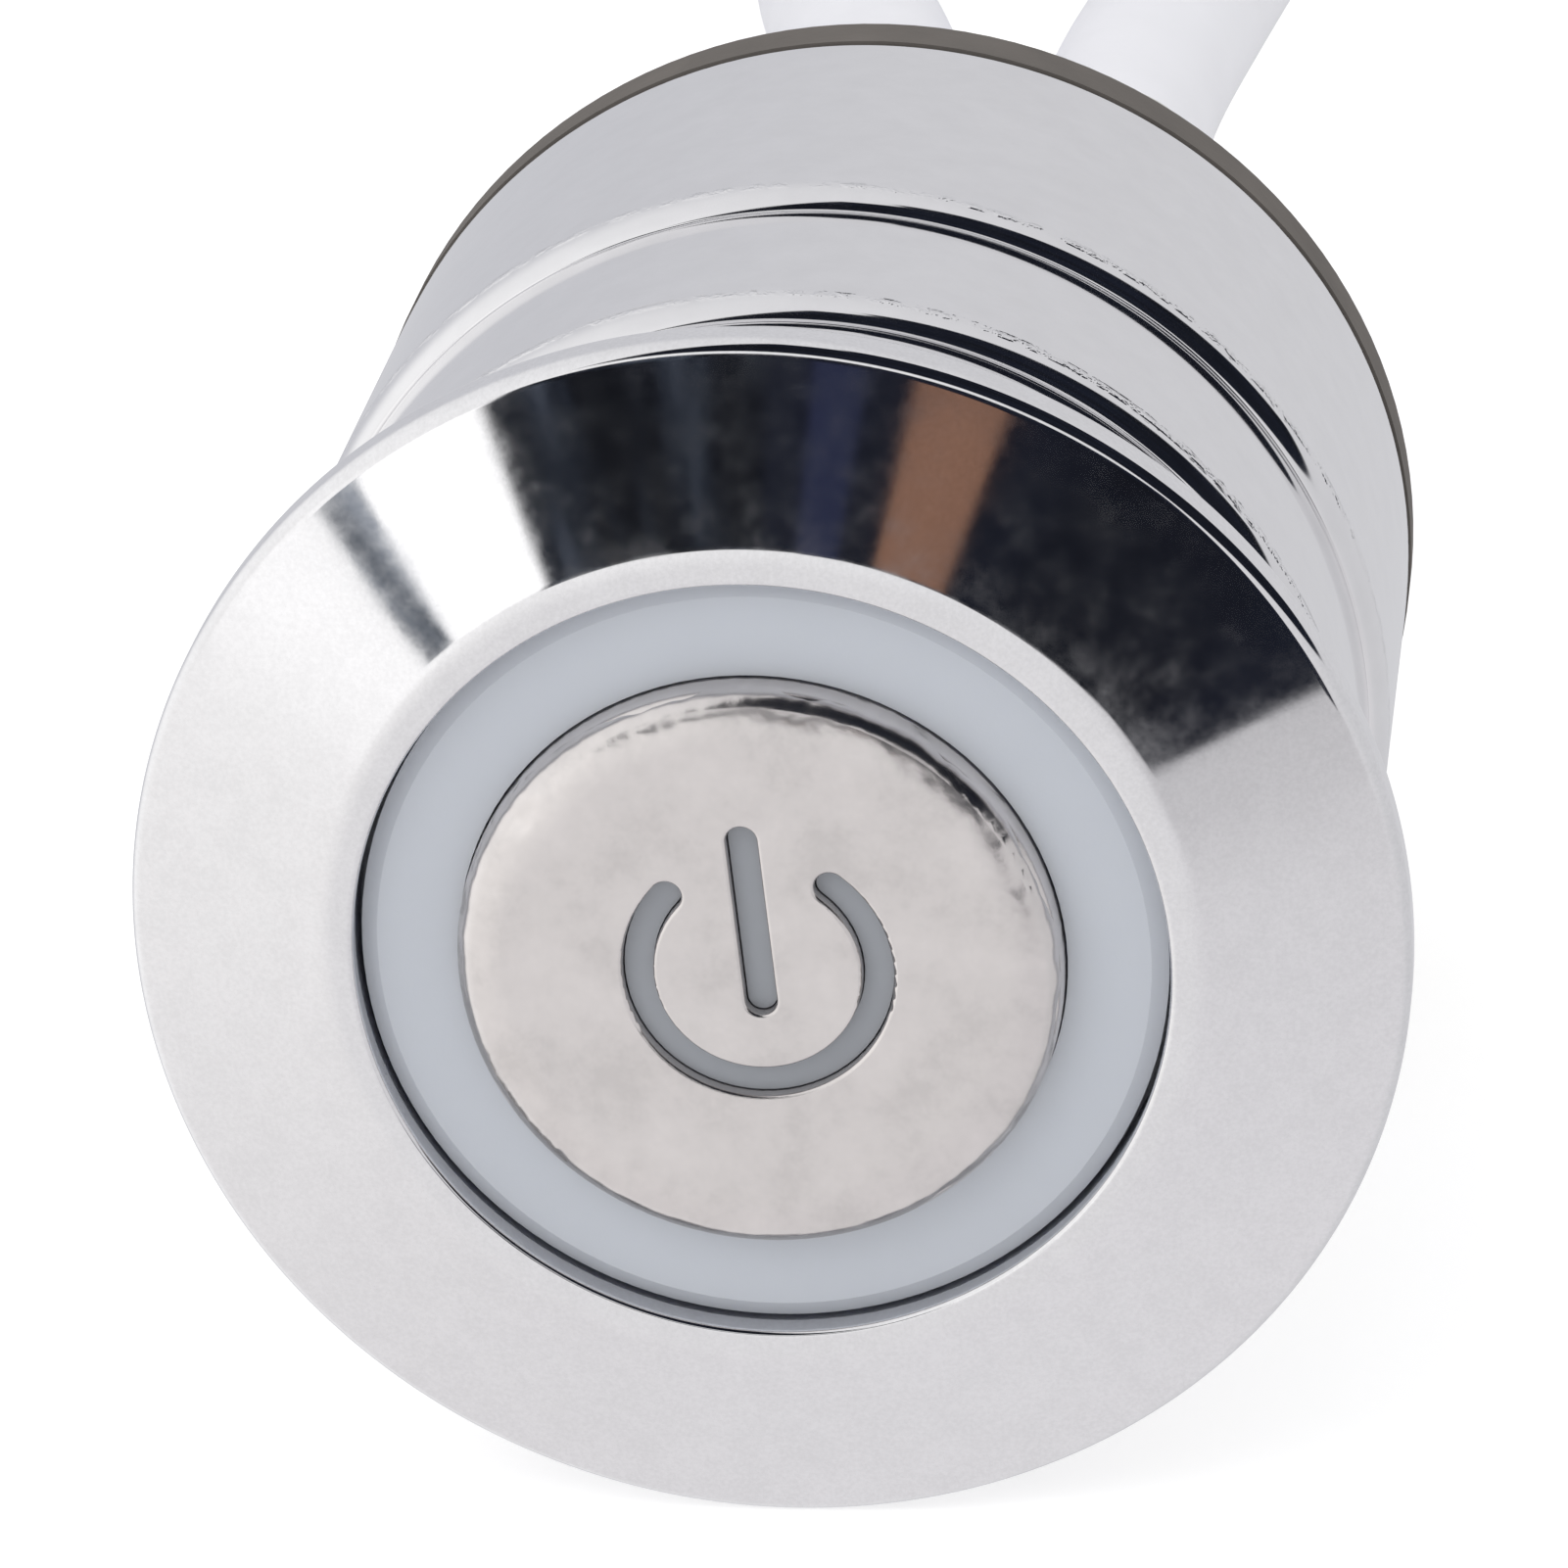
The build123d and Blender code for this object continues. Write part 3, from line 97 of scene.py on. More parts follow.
# What the chrome mirrors in front of the dome: tones as (place in the cloud, colour)
DARK = [(0.35, (0.008, 0.009, 0.013)), (0.62, (0.0125, 0.015, 0.025))]
MOTTLED = [(0.42, (0.008, 0.009, 0.012)), (0.55, (0.018, 0.022, 0.032)), (0.70, (0.12, 0.14, 0.18))]
COPPER = [(0.3, (0.16, 0.08, 0.055)), (0.7, (0.34, 0.19, 0.13))]
NAVY = [(0.3, (0.014, 0.017, 0.038)), (0.7, (0.034, 0.040, 0.084))]
WHITE = [(0.3, (1.35, 1.35, 1.35)), (0.7, (1.35, 1.35, 1.35))]
CLOUDED = [(0.36, (0.04, 0.05, 0.065)), (0.6, (0.30, 0.33, 0.38))]

# The edges of those patches that aren't level: azimuths and elevations in degrees
FRONT_LOW = (
    [-20.9, -13.6, -8.2, -4, -1.2, 1.1, 5.5, 11.8, 15.6, 18.2, 24],
    [0.8, 3.3, 4.0, 4.0, 3.4, 2.8, 0.9, -3.4, -7.2, -11.4, -11.4],
)
CEILING_LOW = ([-21, 24, 34, 60, 130], [19, 19, 12, 10, 10])
CLOUD_LOW = ([-20.6, -13.6, -8.2, -6], [0.8, 3.4, 4.1, 4.0])
COPPER_LOW, COPPER_HIGH = ([0.9, 5.7], [3.3, 1.3]), ([0.9, 5.7], [6.3, 4.4])
WHITE_LOW = ([-27.4, -26.8, -20.8, -19], [-3.2, -2.8, 1.1, 1.7])
WHITE_HIGH = ([-27.4, -26.8, -20.8, -19], [0.2, 0.6, 5.0, 6])
STRIP_LOW, STRIP_HIGH = ([-29.0, -26.85], [-4.5, -2.8]), ([-29.0, -26.85], [-1.3, 0.4])

# Name, distance in metres, azimuths, elevations, feather, lower and upper edge, tones, waves for each metre
REFLECTORS = [
    ("dark_front", 22.0, (-20.9, 24), (-11.2, 10.5), 0.35, FRONT_LOW, None, DARK, 0.14),
    ("dark_ceiling", 22.5, (-21, 130), (10, 84), 1.2, CEILING_LOW, None, DARK, 0.14),
    ("dark_cloud", 21.5, (-20.6, -6), (1.6, 10), 0.7, CLOUD_LOW, None, MOTTLED, 0.8),
    ("copper_strip", 21.0, (0.9, 5.7), (3, 6), 0.4, COPPER_LOW, COPPER_HIGH, COPPER, 0.3),
    ("navy_strip", 21.2, (-4.2, -1.1), (3.2, 7.5), 0.5, None, None, NAVY, 0.1),
    ("white_strip", 23.0, (-27.4, -19), (-3, 4), 0.5, WHITE_LOW, WHITE_HIGH, WHITE, 0.1),
    ("left_strip", 21.0, (-29.0, -26.85), (-4, -1), 0.3, STRIP_LOW, STRIP_HIGH, CLOUDED, 0.9),
]


class SwitchSizes(bpy.types.PropertyGroup):
    """Sizes of the switch's turned and moulded pieces."""

    bezel_radius: bpy.props.FloatProperty(
        name="Bezel radius", description="Radius of the bezel's front edge", default=19.0 * MM, unit="LENGTH"
    )
    edge_y: bpy.props.FloatProperty(
        name="Bezel edge", description="Place of the bezel's front edge along the axis", default=-33.4 * MM,
        unit="LENGTH",
    )
    cone_height: bpy.props.FloatProperty(
        name="Cone height", description="How far the lip stands in front of the bezel's edge",
        default=1.48 * MM, unit="LENGTH",
    )
    lip_radius: bpy.props.FloatProperty(
        name="Lip radius", description="Outer radius of the flat lip", default=12.9 * MM, unit="LENGTH"
    )
    bore_radius: bpy.props.FloatProperty(
        name="Bore radius", description="Radius of the bezel's short bore", default=12.05 * MM, unit="LENGTH"
    )
    skirt_radius: bpy.props.FloatProperty(
        name="Skirt radius", description="Radius of the bezel's skirt", default=16.3 * MM, unit="LENGTH"
    )
    sleeve_step: bpy.props.FloatProperty(
        name="Sleeve step", description="Step in radius between one chromed section and the next",
        default=0.6 * MM, unit="LENGTH",
    )
    corner_depth: bpy.props.FloatProperty(
        name="Corner depth", description="Depth of the rounded front corner of a sleeve",
        default=1.2 * MM, unit="LENGTH",
    )
    front_joint_y: bpy.props.FloatProperty(
        name="Front joint", description="Place of the joint between skirt and front sleeve",
        default=-24.6 * MM, unit="LENGTH",
    )
    rear_joint_y: bpy.props.FloatProperty(
        name="Rear joint", description="Place of the joint between the two sleeves",
        default=-16.6 * MM, unit="LENGTH",
    )
    thread_pitch: bpy.props.FloatProperty(
        name="Thread pitch", description="Pitch of the stem's thread", default=1.5 * MM, unit="LENGTH"
    )
    thread_depth: bpy.props.FloatProperty(
        name="Thread depth", description="Depth of the stem's thread", default=0.55 * MM, unit="LENGTH"
    )
    segments: bpy.props.IntProperty(
        name="Segments", description="Steps round each turned piece", default=512, min=24
    )


class LeadSizes(bpy.types.PropertyGroup):
    """Sizes of the two leads and the hank they are folded into."""

    diameter: bpy.props.FloatProperty(
        name="Lead diameter", description="Outer diameter of a lead", default=7.0 * MM, unit="LENGTH"
    )
    fold_radius: bpy.props.FloatProperty(
        name="Fold radius", description="Radius of the fold's centre line", default=23.5 * MM, unit="LENGTH"
    )
    fold_y: bpy.props.FloatProperty(
        name="Fold place", description="Place of the fold's centre behind the seat", default=224.0 * MM,
        unit="LENGTH",
    )
    entry_y: bpy.props.FloatProperty(
        name="Connector entry", description="Where a lead enters its connector, behind the seat",
        default=160.0 * MM, unit="LENGTH",
    )
    length: bpy.props.FloatProperty(
        name="Lead length", description="Length of each lead from the boot's tip to its connector",
        default=0.33, unit="LENGTH",
    )


class SwitchColours(bpy.types.PropertyGroup):
    """Colours of the switch's finishes."""

    chrome: bpy.props.FloatVectorProperty(
        name="Chrome", description="Reflection colour of the chromed metal", subtype="COLOR",
        default=(0.845, 0.84, 0.85), min=0, max=1,
    )
    nickel: bpy.props.FloatVectorProperty(
        name="Nickel", description="Reflection colour of the satin nickel button", subtype="COLOR",
        default=(0.77, 0.735, 0.72), min=0, max=1,
    )
    guide: bpy.props.FloatVectorProperty(
        name="Light guide", description="Colour of the grey translucent plastic", subtype="COLOR",
        default=(0.655, 0.685, 0.745), min=0, max=1,
    )
    sheath: bpy.props.FloatVectorProperty(
        name="Lead sheath", description="Colour of the leads", subtype="COLOR",
        default=(0.93, 0.93, 0.975), min=0, max=1,
    )
    gasket: bpy.props.FloatVectorProperty(
        name="Gasket", description="Colour of the gasket", subtype="COLOR",
        default=(0.155, 0.14, 0.128), min=0, max=1,
    )


class StudioSettings(bpy.types.PropertyGroup):
    """Light levels of the studio."""

    world_level: bpy.props.FloatProperty(
        name="World level", description="Strength of the even light from all round", default=0.78
    )
    key_power: bpy.props.FloatProperty(
        name="Key lamp power", description="Power of the large soft lamp, in watts", default=1.2
    )
    fill_power: bpy.props.FloatProperty(
        name="Fill lamp power", description="Power of the lamp on the other side, in watts", default=0.4
    )
    floor_glow: bpy.props.FloatProperty(
        name="Floor glow", description="Light the camera sees added to the floor's own colour", default=0.46
    )


def sizes():
    """The switch's sizes, as they are set on the scene."""
    return bpy.context.scene.touch_switch_sizes


def lead_sizes():
    """The leads' sizes, as they are set on the scene."""
    return bpy.context.scene.touch_switch_leads


def colours():
    """The finishes' colours, as they are set on the scene."""
    return bpy.context.scene.touch_switch_colours


def studio():
    """The studio's light levels, as they are set on the scene."""
    return bpy.context.scene.touch_switch_studio


# Materials


def new_material(name):
    """A principled material: the material, its node tree and its shader."""
    material = bpy.data.materials.new(name)
    material.use_nodes = True
    tree = material.node_tree
    return material, tree, tree.nodes["Principled BSDF"]


def glowing_material(name):
    """A material with a glow in place of a shader: the material, its node tree and the glow."""
    material = bpy.data.materials.new(name)
    material.use_nodes = True
    tree = material.node_tree
    tree.nodes.remove(tree.nodes["Principled BSDF"])
    return material, tree, tree.nodes.new("ShaderNodeEmission")


def object_noise(tree, scale, detail=4.0, roughness=0.55):
    """Noise on object coordinates; its scale is in waves for each metre."""
    coordinates = tree.nodes.new("ShaderNodeTexCoord")
    noise = tree.nodes.new("ShaderNodeTexNoise")
    noise.inputs["Scale"].default_value = scale
    noise.inputs["Detail"].default_value = detail
    noise.inputs["Roughness"].default_value = roughness
    tree.links.new(coordinates.outputs["Object"], noise.inputs["Vector"])
    return noise.outputs["Fac"]


def radius_from_axis(tree):
    """Distance from the switch's axis in metres, from object coordinates."""
    coordinates = tree.nodes.new("ShaderNodeTexCoord")
    flat = tree.nodes.new("ShaderNodeVectorMath")
    flat.operation = "MULTIPLY"
    flat.inputs[1].default_value = (1, 0, 1)
    length = tree.nodes.new("ShaderNodeVectorMath")
    length.operation = "LENGTH"
    tree.links.new(coordinates.outputs["Object"], flat.inputs[0])
    tree.links.new(flat.outputs["Vector"], length.inputs[0])
    return length.outputs["Value"]


def mesh_mask(tree):
    """The mask that grid_mesh keeps on the mesh's points, 0 to 1."""
    attribute = tree.nodes.new("ShaderNodeAttribute")
    attribute.attribute_name = "mask"
    return attribute.outputs["Fac"]


def combined(tree, operation, first, second):
    """Two sockets, or a socket and a number, put through one arithmetic operation."""
    node = tree.nodes.new("ShaderNodeMath")
    node.operation = operation
    for slot, value in enumerate((first, second)):
        if isinstance(value, (int, float)):
            node.inputs[slot].default_value = value
        else:
            tree.links.new(value, node.inputs[slot])
    return node.outputs[0]


def ramp(tree, source, stops):
    """A colour ramp driven by source, from (position, colour) stops."""
    node = tree.nodes.new("ShaderNodeValToRGB")
    tree.links.new(source, node.inputs["Fac"])
    elements = node.color_ramp.elements
    while len(elements) < len(stops):
        elements.new(0.5)
    for element, (position, colour) in zip(elements, stops):
        element.position = position
        element.color = (*colour, 1.0)
    return node.outputs["Color"]


def spread(tree, source, low, high, out_low, out_high):
    """Source mapped from one range to another, held at its ends."""
    node = tree.nodes.new("ShaderNodeMapRange")
    for socket, value in (("From Min", low), ("From Max", high), ("To Min", out_low), ("To Max", out_high)):
        node.inputs[socket].default_value = value
    tree.links.new(source, node.inputs["Value"])
    return node.outputs["Result"]


def bump(tree, shader, pattern, height, over=None):
    """A bump whose height in metres is the pattern's 1, over another bump if one is given."""
    node = tree.nodes.new("ShaderNodeBump")
    node.inputs["Distance"].default_value = height
    tree.links.new(pattern, node.inputs["Height"])
    if over is not None:
        tree.links.new(over, node.inputs["Normal"])
    tree.links.new(node.outputs["Normal"], shader.inputs["Normal"])
    return node.outputs["Normal"]


def tinted(colour, factor):
    """The colour made darker or lighter, up to full."""
    return tuple(min(1.0, c * factor) for c in colour)


def shaded(tree, shader, cloud, colour, stops):
    """The surface's colour, tinted by (position in the cloud, factor) stops."""
    tints = [(position, tinted(colour, factor)) for position, factor in stops]
    tree.links.new(ramp(tree, cloud, tints), shader.inputs["Base Color"])


def polished(tree, shader, cloud, low, high, at_low, at_high):
    """The surface's roughness, from one value to another as the cloud goes from low to high."""
    tree.links.new(spread(tree, cloud, low, high, at_low, at_high), shader.inputs["Roughness"])


def bezel_chrome_material():
    """Bright chrome plate: very fine grain, faint waviness and slightly uneven polish."""
    material, tree, shader = new_material("bezel_chrome")
    shader.inputs["Metallic"].default_value = 1.0
    haze = object_noise(tree, scale=900, detail=5.0, roughness=0.6)
    speckle = object_noise(tree, scale=7000, detail=2.0, roughness=0.6)
    tone = combined(
        tree, "ADD", combined(tree, "MULTIPLY", haze, 0.4), combined(tree, "MULTIPLY", speckle, 0.6)
    )
    shaded(tree, shader, tone, tuple(colours().chrome), [(0.38, 0.955), (0.62, 1.03)])
    polished(tree, shader, haze, 0.35, 0.7, 0.035, 0.075)
    waves = bump(tree, shader, object_noise(tree, scale=260, detail=2.0), 0.6 * MICRON)
    bump(tree, shader, object_noise(tree, scale=5200, detail=2.0), 0.07 * MICRON, over=waves)
    return material


def sleeve_chrome_material():
    """The sleeves' chrome plate: less even than the bezel's, with a pitted line along the mask."""
    material, tree, shader = new_material("sleeve_chrome")
    shader.inputs["Metallic"].default_value = 1.0
    haze = object_noise(tree, scale=700, detail=5.0, roughness=0.6)
    shaded(tree, shader, haze, tuple(colours().chrome), [(0.3, 0.97), (0.7, 1.02)])
    polished(tree, shader, haze, 0.35, 0.7, 0.05, 0.10)
    pits = spread(tree, object_noise(tree, scale=1500, detail=3.0, roughness=0.7), 0.42, 0.62, 0.0, 1.0)
    waves = bump(tree, shader, object_noise(tree, scale=300, detail=2.0), 1.2 * MICRON)
    bump(tree, shader, combined(tree, "MULTIPLY", pits, mesh_mask(tree)), 60 * MICRON, over=waves)
    return material


def satin_nickel_material():
    """Satin nickel: blurred reflection, cloudy stains, fine scratches and a softly worn shoulder.

    The shoulder falls with the square of the share of the way from its start to its end, and where it
    starts wanders in and out a little."""
    start, end, wander, drop = 7.3 * MM, 8.9 * MM, 180 * MICRON, 360 * MICRON
    material, tree, shader = new_material("satin_nickel")
    shader.inputs["Metallic"].default_value = 1.0
    stains = object_noise(tree, scale=420, detail=8.0, roughness=0.66)
    shaded(tree, shader, stains, tuple(colours().nickel), [(0.34, 0.9), (0.48, 0.98), (0.66, 1.04)])
    polished(tree, shader, stains, 0.3, 0.7, 0.25, 0.18)
    uneven = spread(tree, object_noise(tree, scale=330, detail=2.5), 0.3, 0.7, -wander, wander)
    radius = combined(tree, "ADD", radius_from_axis(tree), uneven)
    fall = combined(tree, "POWER", spread(tree, radius, start, end, 0.0, 1.0), 2.0)
    shoulder = bump(tree, shader, combined(tree, "MULTIPLY", fall, -1.0), drop)
    stain_relief = object_noise(tree, scale=2600, detail=3.0, roughness=0.6)
    brushed = bump(tree, shader, stain_relief, 4 * MICRON, over=shoulder)
    bump(tree, shader, object_noise(tree, scale=9000, detail=2.0, roughness=0.5), 1.2 * MICRON, over=brushed)
    return material


def guide_material():
    """Grey translucent plastic with painted shade where it fills the recessed symbol: faint cloud, fine
    scratches.
    """
    symbol_shade_edge, ring_edge = 6.0 * MM, 8.6 * MM
    material, tree, shader = new_material("guide_plastic")
    cloud = spread(tree, object_noise(tree, scale=240), 0.3, 0.7, -0.03, 0.03)
    # Painted shade: the colour is 0.62 of its own inside the symbol's edge and rises to full at the ring's
    # edge, standing in for the shade in the button's recessed slots.
    outward = spread(tree, radius_from_axis(tree), symbol_shade_edge, ring_edge, 0.1, 0.9)
    tone = combined(tree, "ADD", outward, cloud)
    shaded(tree, shader, tone, tuple(colours().guide), [(0.1, 0.62), (0.9, 1.0)])
    for socket, value in (
        ("Roughness", 0.42),
        ("IOR", 1.5),
        ("Specular IOR Level", 0.3),
        ("Subsurface Weight", 0.25),
        ("Subsurface Radius", (0.8 * MM, 0.8 * MM, 0.9 * MM)),
        ("Subsurface Scale", 1.0),
    ):
        shader.inputs[socket].default_value = value
    bump(tree, shader, object_noise(tree, scale=6000, detail=3.0, roughness=0.7), 4 * MICRON)
    return material


def plastic_material(name, colour, roughness=0.5, grain=10.0, grain_scale=2500, shade=0.06, specular=0.5):
    """Moulded plastic or rubber: grain of that height in microns, and a faint change of shade."""
    material, tree, shader = new_material(name)
    cloud = object_noise(tree, scale=300, detail=5.0)
    shaded(tree, shader, cloud, colour, [(0.3, 1 - shade), (0.7, 1 + shade)])
    polished(tree, shader, cloud, 0.3, 0.7, roughness - 0.05, roughness + 0.05)
    shader.inputs["Specular IOR Level"].default_value = specular
    bump(tree, shader, object_noise(tree, grain_scale, detail=3.0, roughness=0.6), grain * MICRON)
    return material


def metal_material(name, colour, roughness):
    """Plain metal: fine machining grain and a slightly uneven finish."""
    material, tree, shader = new_material(name)
    shader.inputs["Metallic"].default_value = 1.0
    cloud = object_noise(tree, scale=500, detail=5.0)
    shaded(tree, shader, cloud, colour, [(0.3, 0.93), (0.7, 1.05)])
    polished(tree, shader, cloud, 0.3, 0.7, roughness - 0.05, roughness + 0.06)
    bump(tree, shader, object_noise(tree, scale=1200, detail=3.0, roughness=0.6), 6 * MICRON)
    return material


# Surfaces


def grid_mesh(name, points, closed_u, closed_v, mask=None):
    """A mesh over a grid of points, rows along u and columns along v, whose order turns the faces outwards.

    A mask has a value from 0 to 1 for each point, or one for each row, that the material can read."""
    rows, columns = points.shape[:2]
    index = np.arange(rows * columns).reshape(rows, columns)
    low_u = index if closed_u else index[:-1]
    high_u = np.roll(index, -1, axis=0) if closed_u else index[1:]
    corners = [low_u, np.roll(low_u, -1, axis=1), np.roll(high_u, -1, axis=1), high_u]
    if not closed_v:
        corners = [c[:, :-1] for c in corners]
    faces = np.stack([c.ravel() for c in corners], axis=1)
    mesh = bpy.data.meshes.new(name)
    mesh.vertices.add(rows * columns)
    mesh.vertices.foreach_set("co", points.astype(np.float32).ravel())
    mesh.loops.add(faces.size)
    mesh.loops.foreach_set("vertex_index", faces.astype(np.int32).ravel())
    mesh.polygons.add(len(faces))
    mesh.polygons.foreach_set("loop_start", np.arange(0, faces.size, 4, dtype=np.int32))
    mesh.polygons.foreach_set("use_smooth", np.ones(len(faces), bool))
    mesh.update(calc_edges=True)
    if mask is not None:
        values = np.broadcast_to(mask, (rows, columns)).astype(np.float32)
        mesh.attributes.new("mask", "FLOAT", "POINT").data.foreach_set("value", values.ravel())
    mesh.validate()
    return mesh


def rings(outline, angle):
    """Each (r, y) of the outline carried once round Y, to (r cos a, y, r sin a) at every angle a.

    r and y are columns, or r is a grid with a column for each angle."""
    r, y = outline
    return np.stack(np.broadcast_arrays(r * np.cos(angle), y, r * np.sin(angle)), axis=2)


def turned(name, profile, mask=None):
    """Surface of revolution about Y of a closed outline, whose points run so that faces point outwards."""
    segments = sizes().segments
    angle = np.arange(segments) * TURN / segments
    points = rings((profile[:, 0:1], profile[:, 1:2]), angle)
    mesh = grid_mesh(name, points, closed_u=True, closed_v=True, mask=mask)
    mesh.set_sharp_from_angle(angle=math.radians(28))
    return mesh


def held(start, end):
    """Points on the straight runs from start to end, close to both ends, so that each is shaded flat."""
    share = np.array([0.02, 0.1, 0.5, 0.9, 0.98])[None, :, None]
    return start[:, None] * (1 - share) + end[:, None] * share


def softened(corners, cuts, steps=9):
    """A closed outline whose corners are rounded: each corner c is cut back by its own length and bridged
    by the quadratic curve (1 - t)^2 a + 2 t (1 - t) c + t^2 b between the two cuts a and b."""
    corners = np.array(corners, float)
    before = np.roll(corners, 1, axis=0) - corners
    after = np.roll(corners, -1, axis=0) - corners
    cut = np.array(cuts, float)[:, None]
    a = corners + before / np.linalg.norm(before, axis=1, keepdims=True) * cut
    b = corners + after / np.linalg.norm(after, axis=1, keepdims=True) * cut
    t = np.linspace(0, 1, steps)[None, :, None]
    curve = (1 - t) ** 2 * a[:, None] + 2 * t * (1 - t) * corners[:, None] + t**2 * b[:, None]
    runs = held(curve[:, -1], np.roll(curve[:, 0], -1, axis=0))
    return np.concatenate([curve, runs], axis=1).reshape(-1, 2)


def place(name, data, material, node):
    """Links a mesh or curve as a piece on the body, with its material, in place of a CAD node."""
    piece = bpy.data.objects.new(name, data)
    bpy.context.scene.collection.objects.link(piece)
    data.materials.append(material)
    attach(piece, "root")
    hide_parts(node)
    return piece


def aim(thing, right, up, back, location):
    """Stands a camera or lamp at a place, with its own x, y and z along right, up and back."""
    rows = np.stack([right, up, back, location], axis=1)
    thing.matrix_world = mathutils.Matrix([*rows.tolist(), [0, 0, 0, 1]])


class TOUCHSWITCH_OT_camera(bpy.types.Operator):
    """Adds the camera at the photograph's viewing angle"""

    bl_idname = "touch_switch.camera"
    bl_label = "Camera"

    def execute(self, context):
        data = bpy.data.cameras.new("switch_camera")
        data.sensor_width = CAMERA_SENSOR
        data.lens = CAMERA_LENS
        data.clip_start, data.clip_end = CAMERA_CLIP
        camera = bpy.data.objects.new("switch_camera", data)
        context.scene.collection.objects.link(camera)
        forward = CAMERA_FORWARD / np.linalg.norm(CAMERA_FORWARD)
        right = CAMERA_RIGHT - forward * (CAMERA_RIGHT @ forward)
        right /= np.linalg.norm(right)
        aim(camera, right, np.cross(right, forward), -forward, CAMERA_PLACE)
        context.scene.camera = camera
        return {"FINISHED"}


def lead_points(side, outward, hank_z, entry_z):
    """A lead's route from the boot's tip, as in the part's source: out to the hank, round its fold on the
    corners R / cos 15 at 15, 45 ... 165 degrees, and back to the connector. What it is given is in mm."""
    leads = lead_sizes()
    route = [(LEAD_EXIT_X, LEAD_EXIT_Y, 0.0), (LEAD_EXIT_X, LEAD_STRAIGHT_Y, 0.0)]
    route += [(x * MM, y * MM, z * MM) for x, y, z in outward]
    angle = np.radians(np.arange(15, 180, 30))
    corner = leads.fold_radius / math.cos(angle[0])
    route += [(corner * math.cos(a), leads.fold_y + corner * math.sin(a), hank_z * MM) for a in angle]
    route += [
        (-leads.fold_radius, leads.entry_y + 24 * MM, hank_z * MM),
        (-leads.fold_radius, leads.entry_y + 10 * MM, entry_z * MM),
        (-leads.fold_radius, leads.entry_y, entry_z * MM),
    ]
    return [(side * x, y, z) for x, y, z in route]


def lead_spline(name, points):
    """A round lead on one smooth spline that has the points as its control points."""
    curve = bpy.data.curves.new(name, "CURVE")
    curve.dimensions = "3D"
    spline = curve.splines.new("NURBS")
    spline.points.add(len(points) - 1)
    spline.points.foreach_set("co", np.array([(*p, 1.0) for p in points], np.float32).ravel())
    spline.order_u = 3
    spline.use_endpoint_u = True
    curve.bevel_depth = lead_sizes().diameter / 2
    curve.bevel_resolution = 10
    curve.resolution_u = 16
    curve.use_fill_caps = True
    return curve


class TOUCHSWITCH_OT_leads(bpy.types.Operator):
    """Adds the two leads, folded back once and tied, each on one spline"""

    bl_idname = "touch_switch.leads"
    bl_label = "Leads"

    def execute(self, context):
        material = plastic_material(
            "lead_sheath", tuple(colours().sheath), roughness=0.42, grain=12, grain_scale=1400, shade=0.015
        )
        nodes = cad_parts
        for name, side, outward, hank_z, entry_z, ties in (
            ("supply", -1, SUPPLY_RUN, -14.6, -13.0, [nodes["cord_ties"]]),
            ("load", 1, LOAD_RUN, -7.5, -5.0, []),
        ):
            points = lead_points(side, outward, hank_z, entry_z)
            cord = name + "_cord"
            lead = place(cord, lead_spline(cord, points), material, name + "_lead")
        return {"FINISHED"}


class TOUCHSWITCH_OT_bezel(bpy.types.Operator):
    """Adds the chromed bezel: coned face, flat lip, short bore, rim and skirt"""

    bl_idname = "touch_switch.bezel"
    bl_label = "Bezel"

    def execute(self, context):
        s = sizes()
        lip_y, seat_y = s.edge_y - s.cone_height, s.edge_y + 0.6 * MM
        seat_r, inner_r = 14.0 * MM, s.skirt_radius - 0.9 * MM
        skirt_y, ledge_y = s.front_joint_y, s.front_joint_y + 4.6 * MM
        corners_and_cuts = [
            (s.bore_radius, lip_y, 0.2), (s.bore_radius, seat_y, 0.1), (seat_r, seat_y, 0.1),
            (seat_r, ledge_y, 0.1), (inner_r, ledge_y, 0.1), (inner_r, skirt_y, 0.1),
            (s.skirt_radius, skirt_y, 0.12), (s.skirt_radius, s.edge_y + 2.4 * MM, 0.3),
            (s.bezel_radius, s.edge_y + 1.4 * MM, 0.3), (s.bezel_radius, s.edge_y, 0.36),
            (s.lip_radius, lip_y, 0.3),
        ]
        corners = [corner[:2] for corner in corners_and_cuts]
        cuts = [corner[2] * MM for corner in corners_and_cuts]
        mesh = turned("bezel_skin", softened(corners, cuts))
        place("bezel_skin", mesh, bezel_chrome_material(), "bezel")
        return {"FINISHED"}


def sleeve_profile(outer, inner, front_y, back_y, back_cut):
    """A sleeve's outline and its mask: a quarter ellipse at the front corner, r = outer - step + step sin t
    and y = front + depth (1 - cos t), then the wall, a rounded rear edge and the bore.

    The mask marks the pitted line near the quarter ellipse's end, from t = 1.18 to 1.52."""
    s = sizes()
    t = np.linspace(0, math.pi / 2, 22)
    corner_r = outer - s.sleeve_step + s.sleeve_step * np.sin(t)
    corner = np.stack([corner_r, front_y + s.corner_depth * (1 - np.cos(t))], axis=1)
    u = np.linspace(0, math.pi / 2, 7)
    rear = np.stack([outer - back_cut * (1 - np.cos(u)), back_y - back_cut * (1 - np.sin(u))], axis=1)
    bore = np.array([(inner, back_y), (inner, front_y)])
    wall = held(corner[-1:], rear[:1])[0]
    profile = np.concatenate([corner, wall, rear, bore])
    line = np.clip((t - 1.18) / 0.12, 0, 1) * np.clip((1.52 - t) / 0.06, 0, 1)
    mask = np.concatenate([line, np.zeros(len(profile) - len(t))])
    return profile[::-1], mask[::-1, None]


